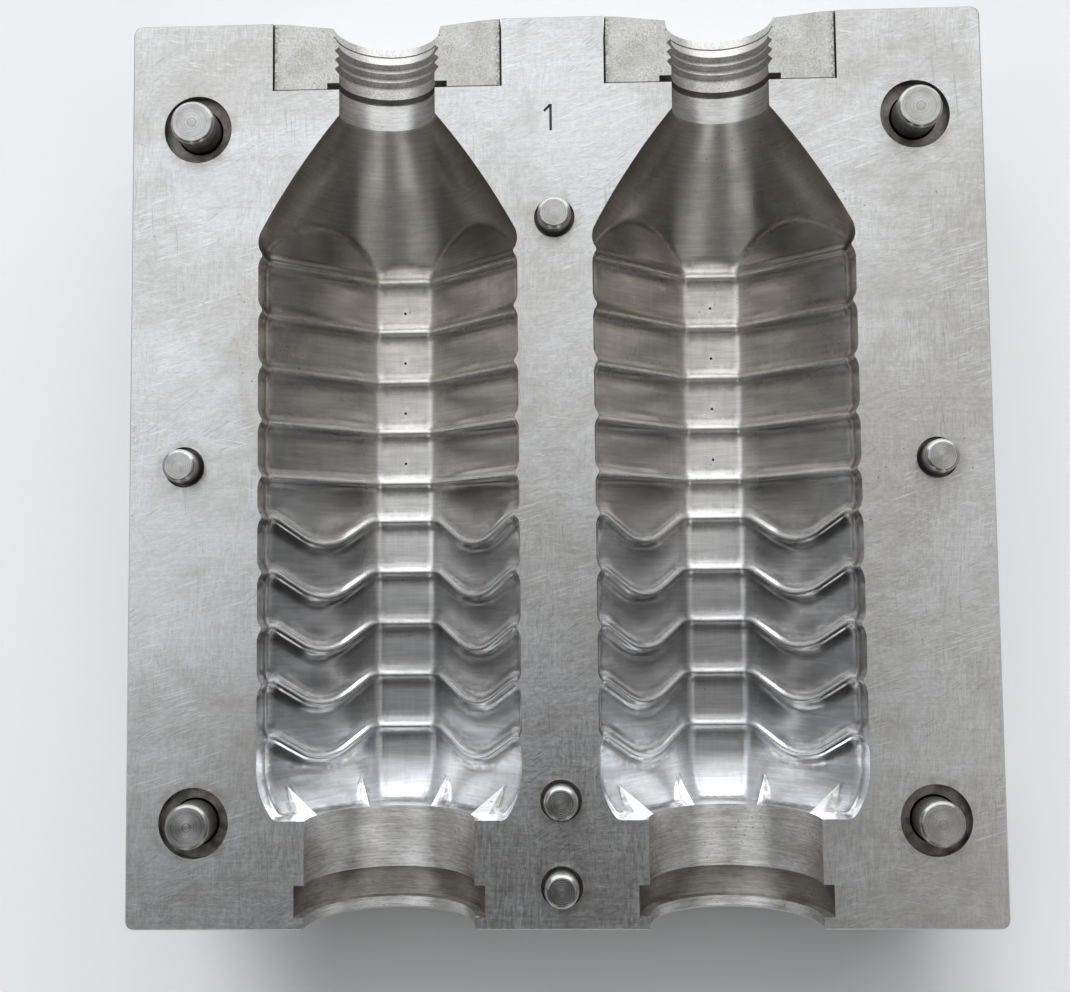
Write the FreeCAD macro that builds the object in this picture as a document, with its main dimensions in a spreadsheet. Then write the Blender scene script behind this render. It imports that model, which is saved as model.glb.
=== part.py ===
import FreeCAD, Part
import math
import os
import Sketcher
from FreeCAD import Placement, Rotation, Vector

# One half of a two-cavity bottle blow mould, lying on its back.
# Millimetres. X runs across both cavities, Y from the base end to the neck end and Z up out of the
# parting face. The origin is at the middle of the back face.

# Driving dimensions: alias, value in millimetres or degrees, meaning
SIZES = [
    ("block_width", 236.0, "block, across both cavities"),
    ("block_length", 250.0, "block, base end to neck end"),
    ("block_thickness", 60.0, "block, back face to parting face"),
    ("block_corner", 2.5, "radius on the four upright corners"),
    ("block_arris", 0.4, "chamfer round the parting face and the back"),
    ("cavity_pitch", 92.7, "axis to axis"),
    ("body_radius", 36.0, "cavity axis to each narrow flat"),
    ("flat_width", 16.6, "width of each narrow flat before its edges are rounded"),
    ("edge_round", 4.0, "radius where a narrow flat meets a wide panel"),
    ("neck_radius", 13.4, "plain neck under the support ring"),
    ("neck_length", 7.3, "plain neck, neck insert to shoulder"),
    ("shoulder_height", 34.0, "shoulder, along the axis"),
    ("shoulder_bulge", 1.05, "how far the shoulder bows out from a straight cone"),
    ("shoulder_blend", 1.3, "radius where the shoulder meets flats and panels"),
    ("first_rib_drop", 5.3, "shoulder end to the first rib"),
    ("rib_pitch", 15.35, "straight rib to straight rib"),
    ("rib_change", 11.5, "last straight rib to first wavy rib"),
    ("wave_pitch", 15.27, "wavy rib to wavy rib"),
    ("base_drop", 21.1, "last wavy rib to the base plane"),
    ("rib_height", 1.1, "ridge above the cavity wall"),
    ("rib_crest", 1.3, "radius along a rib's crest"),
    ("rib_flank", 40.0, "steepest slope of a rib's flanks, degrees"),
    ("rib_cove", 2.5, "hollow radius at the foot of a rib"),
    ("rib_foot", 15.0, "slope at which a rib's foot meets the wall, degrees"),
    ("wave_slope", 30.0, "steepest slope of a wavy rib, degrees"),
    ("wave_top_radius", 5.0, "bend of a wavy rib beside the flats"),
    ("wave_dip_radius", 16.0, "bend of a wavy rib at the middle of a panel"),
    ("base_round_rise", 13.7, "base plane to where the walls begin to curve in"),
    ("base_round_radius", 22.0, "radius that curves the walls in towards the base"),
    ("base_corner", 2.5, "small radius onto the base plane"),
    ("gusset_height", 8.2, "base gussets, along the axis"),
    ("gusset_angle", 22.5, "gussets either side of each narrow flat, degrees"),
    ("gusset_spread", 23.0, "half angle between a gusset's faces, degrees"),
    ("gusset_depth", 14.0, "a gusset's faces below its ridge"),
    ("seat_radius", 23.0, "seat for the base insert"),
    ("seat_groove_radius", 25.8, "flange groove of the base insert seat"),
    ("seat_groove_width", 8.4, "flange groove, along the axis"),
    ("seat_lip", 3.3, "wall left between flange groove and base end"),
    ("seat_chamfer", 0.6, "chamfer at the mouth of the seat"),
    ("insert_width", 63.6, "neck insert, across"),
    ("insert_height", 19.5, "neck insert pocket, along the axis"),
    ("insert_depth", 28.0, "neck insert, below the parting face"),
    ("insert_side_gap", 0.35, "gap each side of a neck insert"),
    ("insert_end_step", 0.3, "neck insert back from the block's neck end"),
    ("insert_arris", 0.3, "chamfer on the neck insert's face"),
    ("ring_radius", 16.8, "slot for the preform's support ring"),
    ("ring_slot", 1.9, "width of the support ring slot"),
    ("thread_land", 2.45, "plain land above the support ring slot"),
    ("thread_pitch", 2.65, "thread clearance groove to groove"),
    ("thread_radius", 14.6, "bottom of the thread clearance grooves"),
    ("thread_flank", 1.6, "longer flank of a thread groove, along the axis"),
    ("lip_run", 2.4, "last thread crest to the wider mouth"),
    ("lip_radius", 14.5, "wider mouth above the threads"),
    ("lip_flare", 0.5, "how much the mouth widens to the dish"),
    ("lip_groove", 0.4, "width and depth of the fine groove at the foot of the mouth"),
    ("dish_depth", 1.7, "shallow dish in the neck insert's end"),
    ("dish_radius", 30.0, "rim of the dish"),
    ("guide_from_side", 18.5, "guide pins to the block's sides"),
    ("guide_from_neck_end", 30.1, "upper guide pins to the neck end"),
    ("guide_from_base_end", 28.4, "lower guide pins to the base end"),
    ("guide_radius", 6.0, "free end of a guide pin"),
    ("guide_shank_radius", 6.5, "guide pin where it is pressed into the block"),
    ("guide_rise", 6.0, "guide pin above the parting face"),
    ("guide_chamfer", 0.6, "guide pin tip"),
    ("guide_recess_radius", 9.5, "recess round each guide pin"),
    ("guide_recess_depth", 2.5, "recess round each guide pin"),
    ("guide_head_radius", 8.5, "guide pin head at the back"),
    ("guide_head_height", 5.0, "guide pin head at the back"),
    ("head_sink", 0.5, "heads below the back face"),
    ("head_gap", 0.3, "radial gap round a head in its counterbore"),
    ("press_gap", 0.02, "radial allowance of fitted pins and screws in these solids"),
    ("locating_radius", 4.6, "locating pin"),
    ("locating_rise", 5.2, "locating pin above the parting face"),
    ("locating_chamfer", 0.8, "locating pin tip"),
    ("locating_depth", 20.0, "locating pin bore below the parting face"),
    ("locating_recess_radius", 5.6, "recess round each locating pin"),
    ("locating_recess_depth", 2.5, "recess round each locating pin"),
    ("locating_from_side", 15.3, "side locating pins to the block's sides"),
    ("locating_from_neck_end", 57.1, "upper middle locating pin to the neck end"),
    ("locating_inner_from_base_end", 34.0, "inner lower locating pin to the base end"),
    ("locating_outer_from_base_end", 11.2, "outer lower locating pin to the base end"),
    ("screw_radius", 3.0, "insert screw, M6"),
    ("screw_hole_radius", 3.3, "clearance hole for an insert screw"),
    ("screw_head_radius", 5.0, "insert screw head"),
    ("screw_head_height", 6.0, "insert screw head"),
    ("screw_grip", 10.0, "thread engaged in the neck insert"),
    ("screw_tip_room", 2.0, "tapped hole past the end of a screw"),
    ("screw_offset", 23.0, "insert screw to cavity axis"),
    ("screw_socket", 5.0, "hexagon socket across flats"),
    ("screw_socket_depth", 3.0, "hexagon socket"),
    ("water_radius", 4.0, "water channel"),
    ("water_height", 11.0, "water channels above the back face"),
    ("water_inner_x", 25.0, "inner pair of water channels from the middle"),
    ("water_outer_x", 65.0, "outer pair of water channels from the middle"),
    ("water_cross_y", 78.0, "cross channel above the block's middle"),
    ("water_cross_radius", 4.5, "cross channel, wider than the channels that end in it"),
    ("port_radius", 4.9, "water port, G1/8"),
    ("port_depth", 12.0, "water port"),
    ("plug_length", 9.0, "plug at each end of the cross channel"),
    ("plug_sink", 1.0, "plug below the side face"),
    ("vent_radius", 0.4, "vent hole at the bottom of the cavity"),
    ("vent_land", 4.0, "length of the fine vent hole"),
    ("vent_drop", 9.4, "straight rib to the vent below it"),
    ("vent_relief_radius", 2.5, "vent relief bore from the back"),
    ("tapped_radius", 6.0, "M12 holes in the back and the lifting hole"),
    ("tapped_depth", 18.0, "depth of the M12 holes"),
    ("back_hole_x", 168.0, "M12 holes in the back, across"),
    ("back_hole_y", 110.0, "M12 holes in the back, along"),
    ("mark_height", 7.5, "engraved cavity number"),
    ("mark_stroke", 0.7, "width of the engraved stroke"),
    ("mark_left", 1.05, "left edge of the number's stroke from the block's middle"),
    ("mark_flag", 2.4, "length of the number's flag"),
    ("mark_depth", 0.4, "depth of the engraving"),
    ("mark_from_neck_end", 25.0, "neck end to the top of the number"),
]

# How far a cutting shape runs past the face that it opens
OVERRUN = 3.0
# How far a rib or a gusset reaches into the wall
BANK = 0.3
# How far the turned form stands outside the edges of the eight-sided section
OUTSIDE = 0.2
# How far the seat reaches into the cavity past the base plane
SEAT_OVERLAP = 1.0
# Degrees from one face of the eight-sided section to the next
SIDE_TURN = 45.0
# How far the short side of the number's flag is turned from X, in degrees
FLAG_TURN = 135.0
# Lengths smaller than this count as nothing
NOTHING = 0.001
# An edge is upright when its rise is at least this share of its length
UPRIGHT_SHARE = 0.9
STRAIGHT_RIBS = 5
WAVY_RIBS = 5
THREAD_GROOVES = 3
SIDES = {"left": -1, "right": 1}
ENDS = {"lower": -1, "upper": 1}


class Dim:
    """A sheet value, or a sum, product or ratio of such values, as expression text and as a number."""

    def __init__(self, text, value):
        self.text = text
        self.value = value

    @staticmethod
    def of(thing):
        if isinstance(thing, Dim):
            return thing
        return Dim(repr(float(thing)), float(thing))

    def joined(self, sign, other, value):
        return Dim("(%s %s %s)" % (self.text, sign, other.text), value)

    def __add__(self, other):
        other = Dim.of(other)
        return self.joined("+", other, self.value + other.value)

    def __sub__(self, other):
        other = Dim.of(other)
        return self.joined("-", other, self.value - other.value)

    def __mul__(self, other):
        other = Dim.of(other)
        return self.joined("*", other, self.value * other.value)

    def __truediv__(self, other):
        other = Dim.of(other)
        return self.joined("/", other, self.value / other.value)

    def __neg__(self):
        return self * -1

    __rmul__ = __mul__


class Sheet:
    """The driving dimensions as a spreadsheet, each one readable as a Dim attribute."""

    def __init__(self, doc):
        table = doc.addObject("Spreadsheet::Sheet", "Sizes")
        for row, (alias, value, meaning) in enumerate(SIZES, start=1):
            table.set("A%d" % row, alias)
            table.set("B%d" % row, str(value))
            table.setAlias("B%d" % row, alias)
            table.set("C%d" % row, meaning)
            setattr(self, alias, Dim("Sizes." + alias, value))


doc = FreeCAD.newDocument("BlowMouldHalf")
size = Sheet(doc)
doc.recompute()

# Places worked out once from the sheet
neck_end = size.block_length / 2
base_end = -neck_end
parting = size.block_thickness
insert_base = neck_end - size.insert_height
shoulder_top = insert_base - size.neck_length
shoulder_foot = shoulder_top - size.shoulder_height
first_rib = shoulder_foot - size.first_rib_drop
first_wave = first_rib - size.rib_pitch * (STRAIGHT_RIBS - 1) - size.rib_change
base_plane = first_wave - size.wave_pitch * (WAVY_RIBS - 1) - size.base_drop
cavity_x = size.cavity_pitch / 2
cavity_floor = parting - size.body_radius
guide_x = size.block_width / 2 - size.guide_from_side
guide_y = {"upper": neck_end - size.guide_from_neck_end, "lower": base_end + size.guide_from_base_end}
insert_floor = parting - size.insert_depth
screw_y = insert_base + size.insert_height / 2
screw_seat = size.head_sink + size.screw_head_height


# General helpers

def bind(item, **links):
    """Tie properties of a document object to the sheet."""
    for name, dim in links.items():
        item.setExpression(name, Dim.of(dim).text)


def put_at(item, x=0.0, y=0.0, z=0.0, rotation=None):
    """Turn an object, then tie its place to the sheet."""
    item.Placement = Placement(Vector(), rotation or Rotation())
    for axis, dim in (("x", x), ("y", y), ("z", z)):
        item.setExpression(".Placement.Base." + axis, Dim.of(dim).text)
    return item


ALONG_X = Rotation(Vector(0, 1, 0), 90)
ALONG_Y = Rotation(Vector(1, 0, 0), -90)


def drill(name, radius, length, x, y, z, rotation=None):
    """A round cutting tool that starts at the given point and runs along its turned Z."""
    tool = doc.addObject("Part::Cylinder", name)
    bind(tool, Radius=radius, Height=length)
    return put_at(tool, x, y, z, rotation)


def block_tool(name, length, width, height, x, y, z, rotation=None):
    """A square-cornered cutting tool."""
    tool = doc.addObject("Part::Box", name)
    bind(tool, Length=length, Width=width, Height=height)
    return put_at(tool, x, y, z, rotation)


def plane_of(body, role):
    """One of a body's own origin planes."""
    return next(part for part in body.Origin.OriginFeatures if part.Role == role)


def new_sketch(body, name, role):
    sketch = body.newObject("Sketcher::SketchObject", name)
    sketch.AttachmentSupport = [(plane_of(body, role), "")]
    sketch.MapMode = "FlatFace"
    return sketch


def pin_point(sketch, line, corner, place, axis):
    """Hold one coordinate of a sketch point, on the axis or at a sheet value from it."""
    kind, axis_line = (("DistanceX", -2), ("DistanceY", -1))[axis]
    if place.value == 0:
        sketch.addConstraint(Sketcher.Constraint("PointOnObject", line, corner, axis_line))
        return
    index = sketch.addConstraint(Sketcher.Constraint(kind, -1, 1, line, corner, place.value))
    sketch.setExpression("Constraints[%d]" % index, place.text)


def outline_sketch(body, name, role, corners):
    """A closed outline of straight lines, with every corner tied to the sheet."""
    sketch = new_sketch(body, name, role)
    corners = [(Dim.of(across), Dim.of(along)) for across, along in corners]
    points = [Vector(across.value, along.value, 0) for across, along in corners]
    for start, end in zip(points, points[1:] + points[:1]):
        sketch.addGeometry(Part.LineSegment(start, end))
    for line in range(len(points)):
        following = (line + 1) % len(points)
        sketch.addConstraint(Sketcher.Constraint("Coincident", line, 2, following, 1))
    for line, corner in enumerate(corners):
        for axis in (0, 1):
            pin_point(sketch, line, 1, corner[axis], axis)
    return sketch


def turned(body, name, sketch, feature="PartDesign::Revolution"):
    """Turn a sketch about its own upright axis, to add or to remove material."""
    turn = body.newObject(feature, name)
    turn.Profile = sketch
    turn.ReferenceAxis = (sketch, ["V_Axis"])
    turn.Angle = 360.0
    return turn


def turned_body(label, corners):
    """A turned piece: corners are radius and height, starting and ending on the axis."""
    body = doc.addObject("PartDesign::Body", label)
    sketch = outline_sketch(body, label + "_outline", "XZ_Plane", corners)
    turned(body, label + "_turning", sketch)
    return body


def cut_hexagon(body, name, across_flats, depth, face_height, reversed_cut):
    """A hexagon socket in a turned piece, cut from the given height along the axis."""
    doc.recompute()
    before = body.Shape.Volume
    sketch = new_sketch(body, name + "_outline", "XY_Plane")
    sketch.AttachmentOffset = Placement(Vector(), Rotation())
    sketch.setExpression(".AttachmentOffset.Base.z", Dim.of(face_height).text)
    radius = across_flats.value / math.sqrt(3)
    corners = [Vector(radius * math.cos(math.radians(60 * k)), radius * math.sin(math.radians(60 * k)), 0)
               for k in range(6)]
    for start, end in zip(corners, corners[1:] + corners[:1]):
        sketch.addGeometry(Part.LineSegment(start, end))
    circle = sketch.addGeometry(Part.Circle(Vector(), Vector(0, 0, 1), radius), True)
    sketch.addConstraint(Sketcher.Constraint("Coincident", circle, 3, -1, 1))
    for line in range(6):
        sketch.addConstraint(Sketcher.Constraint("Coincident", line, 2, (line + 1) % 6, 1))
        sketch.addConstraint(Sketcher.Constraint("PointOnObject", line, 1, circle))
    for line in range(5):
        sketch.addConstraint(Sketcher.Constraint("Equal", line, line + 1))
    sketch.addConstraint(Sketcher.Constraint("PointOnObject", 0, 1, -1))
    index = sketch.addConstraint(Sketcher.Constraint("Radius", circle, radius))
    sketch.setExpression("Constraints[%d]" % index, (across_flats / math.sqrt(3)).text)
    pocket = body.newObject("PartDesign::Pocket", name)
    pocket.Profile = sketch
    pocket.Reversed = reversed_cut
    bind(pocket, Length=depth)
    doc.recompute()
    if body.Shape.Volume >= before:
        raise ValueError(name + " cuts nothing")


# The cavity as a solid, about the Y axis: what is taken out of the block

def wall_curve(distance):
    """Foot, centre and start of the curve that brings a wall in to the base plane."""
    start = Vector(distance, base_plane.value + size.base_round_rise.value, 0)
    centre = start - Vector(size.base_round_radius.value, 0, 0)
    reach = math.sqrt(size.base_round_radius.value ** 2 - size.base_round_rise.value ** 2)
    return Vector(centre.x + reach, base_plane.value, 0), centre, start


def arc_about(centre, start, end):
    """The shorter arc from start to end about a centre."""
    middle = (start - centre).normalize() + (end - centre).normalize()
    return Part.Arc(start, centre + middle.normalize() * start.distanceToPoint(centre), end).toShape()


def straight(start, end):
    return Part.makeLine(start, end)


def shoulder_edge():
    """The shoulder's bowed edge from the flats up to the neck, and its direction at the flats."""
    foot = Vector(size.body_radius.value, shoulder_foot.value, 0)
    top = Vector(size.neck_radius.value, shoulder_top.value, 0)
    chord = top - foot
    outward = Vector(chord.y, -chord.x, 0).normalize()
    middle = (foot + top) * 0.5 + outward * size.shoulder_bulge.value
    arc = Part.Arc(foot, middle, top)
    edge = arc.toShape()
    leaving = edge.tangentAt(edge.FirstParameter)
    return edge, leaving if leaving.y < 0 else leaving * -1


def clear_of_edges():
    """How far the turned shape stands outside the narrow flats, past their edges."""
    edge = math.hypot(size.body_radius.value, size.flat_width.value / 2)
    return edge - size.body_radius.value + OUTSIDE


def turned_form():
    """Neck, shoulder and a plain round outside that clears the walls, turned about the axis."""
    outer = size.body_radius.value + clear_of_edges()
    shoulder, downward = shoulder_edge()
    foot = Vector(size.body_radius.value, shoulder_foot.value, 0)
    top = Vector(size.neck_radius.value, shoulder_top.value, 0)
    past = foot + downward * (clear_of_edges() / downward.x)
    neck_top = Vector(size.neck_radius.value, insert_base.value + OVERRUN, 0)
    low = base_plane.value - OVERRUN
    corners = [neck_top, Vector(0, neck_top.y, 0), Vector(0, low, 0), Vector(outer, low, 0), past, foot]
    edges = [straight(start, end) for start, end in zip(corners, corners[1:])]
    face = Part.Face(Part.Wire(edges + [shoulder, straight(top, neck_top)]))
    return face.revolve(Vector(), Vector(0, 1, 0), 360)


def wall_slab(distance, angle):
    """A slab between two opposite walls, curved in at the base and turned about the axis."""
    high = insert_base.value + 2 * OVERRUN
    reach = 2 * size.body_radius.value
    foot, centre, start = wall_curve(distance)
    turn_over = Rotation(Vector(0, 1, 0), 180)
    corners = [start, Vector(distance, high, 0), Vector(-distance, high, 0), turn_over.multVec(start)]
    edges = [straight(here, there) for here, there in zip(corners, corners[1:])]
    edges.append(arc_about(turn_over.multVec(centre), turn_over.multVec(start), turn_over.multVec(foot)))
    edges += [straight(turn_over.multVec(foot), foot), arc_about(centre, foot, start)]
    slab = Part.Face(Part.Wire(edges)).extrude(Vector(0, 0, 2 * reach))
    slab.translate(Vector(0, 0, -reach))
    slab.rotate(Vector(), Vector(0, 1, 0), angle)
    return slab


def panel_distance():
    """Cavity axis to each wide panel."""
    return (size.body_radius.value + size.flat_width.value / 2) / math.sqrt(2)


def eight_sided_form():
    """The body's section of four narrow flats and four wide panels, with its edges and base rounded."""
    flats = wall_slab(size.body_radius.value, 0).common(wall_slab(size.body_radius.value, 90))
    panels = wall_slab(panel_distance(), SIDE_TURN).common(wall_slab(panel_distance(), -SIDE_TURN))
    sharp = flats.common(panels).removeSplitter().Solids[0]
    upright = [edge for edge in sharp.Edges if edge.BoundBox.YLength > size.base_corner.value]
    rounded = sharp.makeFillet(size.edge_round.value, upright)
    rim = [edge for edge in rounded.Edges if edge.BoundBox.YMax < base_plane.value + NOTHING]
    return rounded.makeFillet(size.base_corner.value, rim)


def edge_run():
    """How much of a flat or a panel the rounded edge takes."""
    return size.edge_round.value * math.tan(math.radians(SIDE_TURN / 2))


def plain_cavity():
    """Shoulder, body and base without ribs, with a soft edge under the shoulder."""
    solid = turned_form().common(eight_sided_form()).removeSplitter().Solids[0]
    soft = [edge for edge in solid.Edges if under_shoulder(edge)]
    return solid.makeFillet(size.shoulder_blend.value, soft)


def under_shoulder(edge):
    """True for the edges where the shoulder meets the flats, panels and rounded edges."""
    middle = edge.valueAt((edge.FirstParameter + edge.LastParameter) / 2)
    radius = math.hypot(middle.x, middle.z)
    below_neck = first_rib.value < middle.y < shoulder_top.value - size.shoulder_blend.value
    ends = [vertex.Point.y for vertex in edge.Vertexes]
    upright = max(ends) - min(ends) > UPRIGHT_SHARE * edge.Length
    on_wall = radius < size.body_radius.value + clear_of_edges() - OUTSIDE / 2
    return below_neck and on_wall and not upright


# Ribs: one profile carried round the wall as straight runs joined by tangent bends

class Track:
    """A place on the wall with its direction of travel, outward normal and sideways direction."""

    def __init__(self, point, ahead, out):
        self.point = point
        self.ahead = ahead
        self.out = out
        self.solids = []

    def side(self):
        return self.out.cross(self.ahead)

    def profile(self):
        """The rib's section here: a round crest towards the cavity axis and a hollow at each foot."""
        flank = math.radians(size.rib_flank.value)
        foot = math.radians(size.rib_foot.value)
        half_turn = (flank + foot) / 2
        crest = size.rib_crest.value
        cove = size.rib_cove.value
        top = Vector(-size.rib_height.value, 0, 0)
        crest_end = top + Vector(crest * (1 - math.cos(flank)), crest * math.sin(flank), 0)
        centre = crest_end + Vector(-math.cos(flank), math.sin(flank), 0) * cove
        cove_middle = centre + Vector(math.cos(half_turn), -math.sin(half_turn), 0) * cove
        cove_end = centre + Vector(math.cos(foot), -math.sin(foot), 0) * cove
        rise = BANK - cove_end.x
        bank = cove_end + Vector(rise, rise / math.tan(foot), 0)
        half = [bank, cove_end, cove_middle, crest_end]
        other = [Vector(place.x, -place.y, 0) for place in reversed(half)]
        points = [self.point + self.out * place.x + self.side() * place.y for place in half + [top] + other]
        edges = [straight(*points[0:2]), Part.Arc(*points[1:4]).toShape(), Part.Arc(*points[3:6]).toShape()]
        edges += [Part.Arc(*points[5:8]).toShape(), straight(*points[7:9]), straight(points[8], points[0])]
        return Part.Face(Part.Wire(edges))

    def run(self, length):
        self.solids.append(self.profile().extrude(self.ahead * length))
        self.point = self.point + self.ahead * length

    def bend(self, radius, angle, centre_way, axis):
        """Travel round an arc whose centre lies along centre_way."""
        centre = self.point + centre_way * radius
        self.solids.append(self.profile().revolve(centre, axis, angle))
        rotation = Rotation(axis, angle)
        self.point = centre + rotation.multVec(self.point - centre)
        self.ahead = rotation.multVec(self.ahead)
        self.out = rotation.multVec(self.out)

    def round_edge(self):
        """Follow the rounded edge from one face of the section to the next."""
        self.bend(size.edge_round.value, SIDE_TURN, self.out * -1, self.side())

    def dip(self, radius, angle):
        """Turn towards the base on the same face."""
        self.bend(radius, angle, self.side() * -1, self.out * -1)

    def climb(self, radius, angle):
        """Turn towards the neck on the same face."""
        self.bend(radius, angle, self.side(), self.out)


def panel_run():
    """Length of a wide panel between its rounded edges."""
    return math.sqrt(2) * (size.body_radius.value - size.flat_width.value / 2) - 2 * edge_run()


def straight_over_panel(track):
    track.run(panel_run())


def wavy_over_panel(track):
    """Down to the middle of the panel and up again."""
    slope = size.wave_slope.value
    top = size.wave_top_radius.value
    dip = size.wave_dip_radius.value
    level = panel_run() / 2 - (top + dip) * math.sin(math.radians(slope))
    sloping = level / math.cos(math.radians(slope))
    track.dip(top, slope)
    track.run(sloping)
    track.climb(dip, 2 * slope)
    track.run(sloping)
    track.dip(top, slope)


def rib(level, over_panel):
    """One rib round the half section below the parting plane."""
    half_flat = size.flat_width.value / 2 - edge_run()
    start = Vector(size.body_radius.value, level, OVERRUN)
    track = Track(start, Vector(0, 0, -1), Vector(1, 0, 0))
    track.run(half_flat + OVERRUN)
    for flat in (2 * half_flat, half_flat + OVERRUN):
        track.round_edge()
        over_panel(track)
        track.round_edge()
        track.run(flat)
    first = track.solids[0]
    return first.multiFuse(track.solids[1:])


def gusset(angle):
    """A narrow three-sided ridge across the corner between wall and base."""
    half = math.radians(size.gusset_spread.value)
    low = base_plane.value - OVERRUN
    high = base_plane.value + size.gusset_height.value
    wall = wall_reach(angle) + BANK
    slope = (wall - size.seat_radius.value) / (high - base_plane.value)
    inner = Vector(size.seat_radius.value - slope * OVERRUN, low, 0)
    outer = Vector(wall + OVERRUN, high + OVERRUN / slope, 0)
    away = Vector(outer.y - inner.y, inner.x - outer.x, 0).normalize() * size.gusset_depth.value
    side = Vector(0, 0, math.tan(half) * size.gusset_depth.value)
    section = Part.makePolygon([inner, inner + away + side, inner + away - side, inner])
    solid = Part.Face(section).extrude(outer - inner)
    solid.rotate(Vector(), Vector(0, 1, 0), angle)
    return solid


def wall_reach(angle):
    """Cavity axis to the plain wall in a direction, in degrees below the parting plane."""
    nearest = min(abs(angle - flat) for flat in (0, 90, 180))
    flat_reach = size.body_radius.value / math.cos(math.radians(nearest))
    panel_reach = panel_distance() / math.cos(math.radians(SIDE_TURN - nearest))
    return min(flat_reach, panel_reach)


def seat_form():
    """The open seat for the base insert, with its flange groove and chamfered mouth."""
    bore = size.seat_radius.value
    groove = size.seat_groove_radius.value
    chamfer = size.seat_chamfer.value
    end = base_end.value
    lip = end + size.seat_lip.value
    groove_top = lip + size.seat_groove_width.value
    inside = base_plane.value + SEAT_OVERLAP
    points = [(0, inside), (bore, inside), (bore, groove_top), (groove, groove_top), (groove, lip),
              (bore, lip), (bore, end + chamfer), (bore + chamfer, end), (bore + chamfer, end - OVERRUN),
              (0, end - OVERRUN), (0, inside)]
    wire = Part.makePolygon([Vector(across, along, 0) for across, along in points])
    return Part.Face(wire).revolve(Vector(), Vector(0, 1, 0), 360)


def cavity_form():
    """Everything that one cavity takes out of the block."""
    ribs = [rib(first_rib.value - size.rib_pitch.value * k, straight_over_panel)
            for k in range(STRAIGHT_RIBS)]
    ribs += [rib(first_wave.value - size.wave_pitch.value * k, wavy_over_panel) for k in range(WAVY_RIBS)]
    spread = size.gusset_angle.value
    gussets = [gusset(angle) for angle in (spread, 90 - spread, 90 + spread, 180 - spread)]
    return plain_cavity().cut(ribs + gussets).fuse(seat_form())


# The block

def chamfer_edges(body, base, name, chosen, amount):
    feature = body.newObject("PartDesign::Chamfer", name)
    feature.Base = (base, chosen)
    bind(feature, Size=amount)
    return feature


def edge_names(shape, wanted):
    return ["Edge%d" % (index + 1) for index, edge in enumerate(shape.Edges) if wanted(edge)]


def plain_block():
    """The squared block, with rounded upright corners and light chamfers."""
    body = doc.addObject("PartDesign::Body", "plain_block")
    half_x = size.block_width / 2
    half_y = size.block_length / 2
    corners = [(-half_x, -half_y), (half_x, -half_y), (half_x, half_y), (-half_x, half_y)]
    sketch = outline_sketch(body, "block_outline", "XY_Plane", corners)
    pad = body.newObject("PartDesign::Pad", "block_pad")
    pad.Profile = sketch
    bind(pad, Length=size.block_thickness)
    doc.recompute()
    rounds = body.newObject("PartDesign::Fillet", "block_corners")
    rounds.Base = (pad, edge_names(pad.Shape, lambda edge: edge.BoundBox.ZLength > NOTHING))
    bind(rounds, Radius=size.block_corner)
    doc.recompute()
    rims = edge_names(rounds.Shape, lambda edge: edge.BoundBox.ZLength < NOTHING)
    chamfer_edges(body, rounds, "block_arris", rims, size.block_arris)
    return body


def pocket_tools():
    """The two neck insert pockets, open at the neck end."""
    width = size.insert_width + size.insert_side_gap * 2
    depth = size.insert_depth + OVERRUN
    return [block_tool("insert_pocket_" + name, width, size.insert_height + OVERRUN, depth,
                       side * cavity_x - width / 2, insert_base, insert_floor)
            for name, side in SIDES.items()]


def guide_tools():
    """Bore, recess and head counterbore of the four guide pins."""
    tools = []
    for end in ENDS:
        for name, side in SIDES.items():
            x = guide_x * side
            y = guide_y[end]
            tag = "guide_%s_%s_" % (end, name)
            head_room = size.guide_head_height + size.head_sink
            tools.append(drill(tag + "bore", size.guide_shank_radius + size.press_gap, size.block_thickness,
                               x, y, 0))
            tools.append(drill(tag + "recess", size.guide_recess_radius, size.guide_recess_depth + OVERRUN,
                               x, y, parting - size.guide_recess_depth))
            tools.append(drill(tag + "head", size.guide_head_radius + size.head_gap, head_room + OVERRUN,
                               x, y, -OVERRUN))
    return tools


def locating_places():
    """Name, x and y of the five locating pins."""
    reach = size.block_width / 2 - size.locating_from_side
    return [("left", -reach, Dim.of(0)), ("right", reach, Dim.of(0)),
            ("upper", Dim.of(0), neck_end - size.locating_from_neck_end),
            ("lower", Dim.of(0), base_end + size.locating_inner_from_base_end),
            ("lowest", Dim.of(0), base_end + size.locating_outer_from_base_end)]


def locating_tools():
    """Blind bore and recess of the five locating pins."""
    tools = []
    for name, x, y in locating_places():
        tools.append(drill("locating_%s_bore" % name, size.locating_radius + size.press_gap,
                           size.locating_depth + OVERRUN, x, y, parting - size.locating_depth))
        tools.append(drill("locating_%s_recess" % name, size.locating_recess_radius,
                           size.locating_recess_depth + OVERRUN, x, y, parting - size.locating_recess_depth))
    return tools


def screw_places():
    """Name, x and y of the four insert screws."""
    return [("%s_%s" % (name, way), side * cavity_x + size.screw_offset * sign, screw_y)
            for name, side in SIDES.items() for way, sign in (("a", -1), ("b", 1))]


def screw_tools():
    """Clearance holes and head counterbores from the back."""
    tools = []
    for name, x, y in screw_places():
        tools.append(drill("screw_%s_hole" % name, size.screw_hole_radius, insert_floor + OVERRUN, x, y, 0))
        tools.append(drill("screw_%s_head" % name, size.screw_head_radius + size.head_gap,
                           screw_seat + OVERRUN, x, y, -OVERRUN))
    return tools


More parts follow.
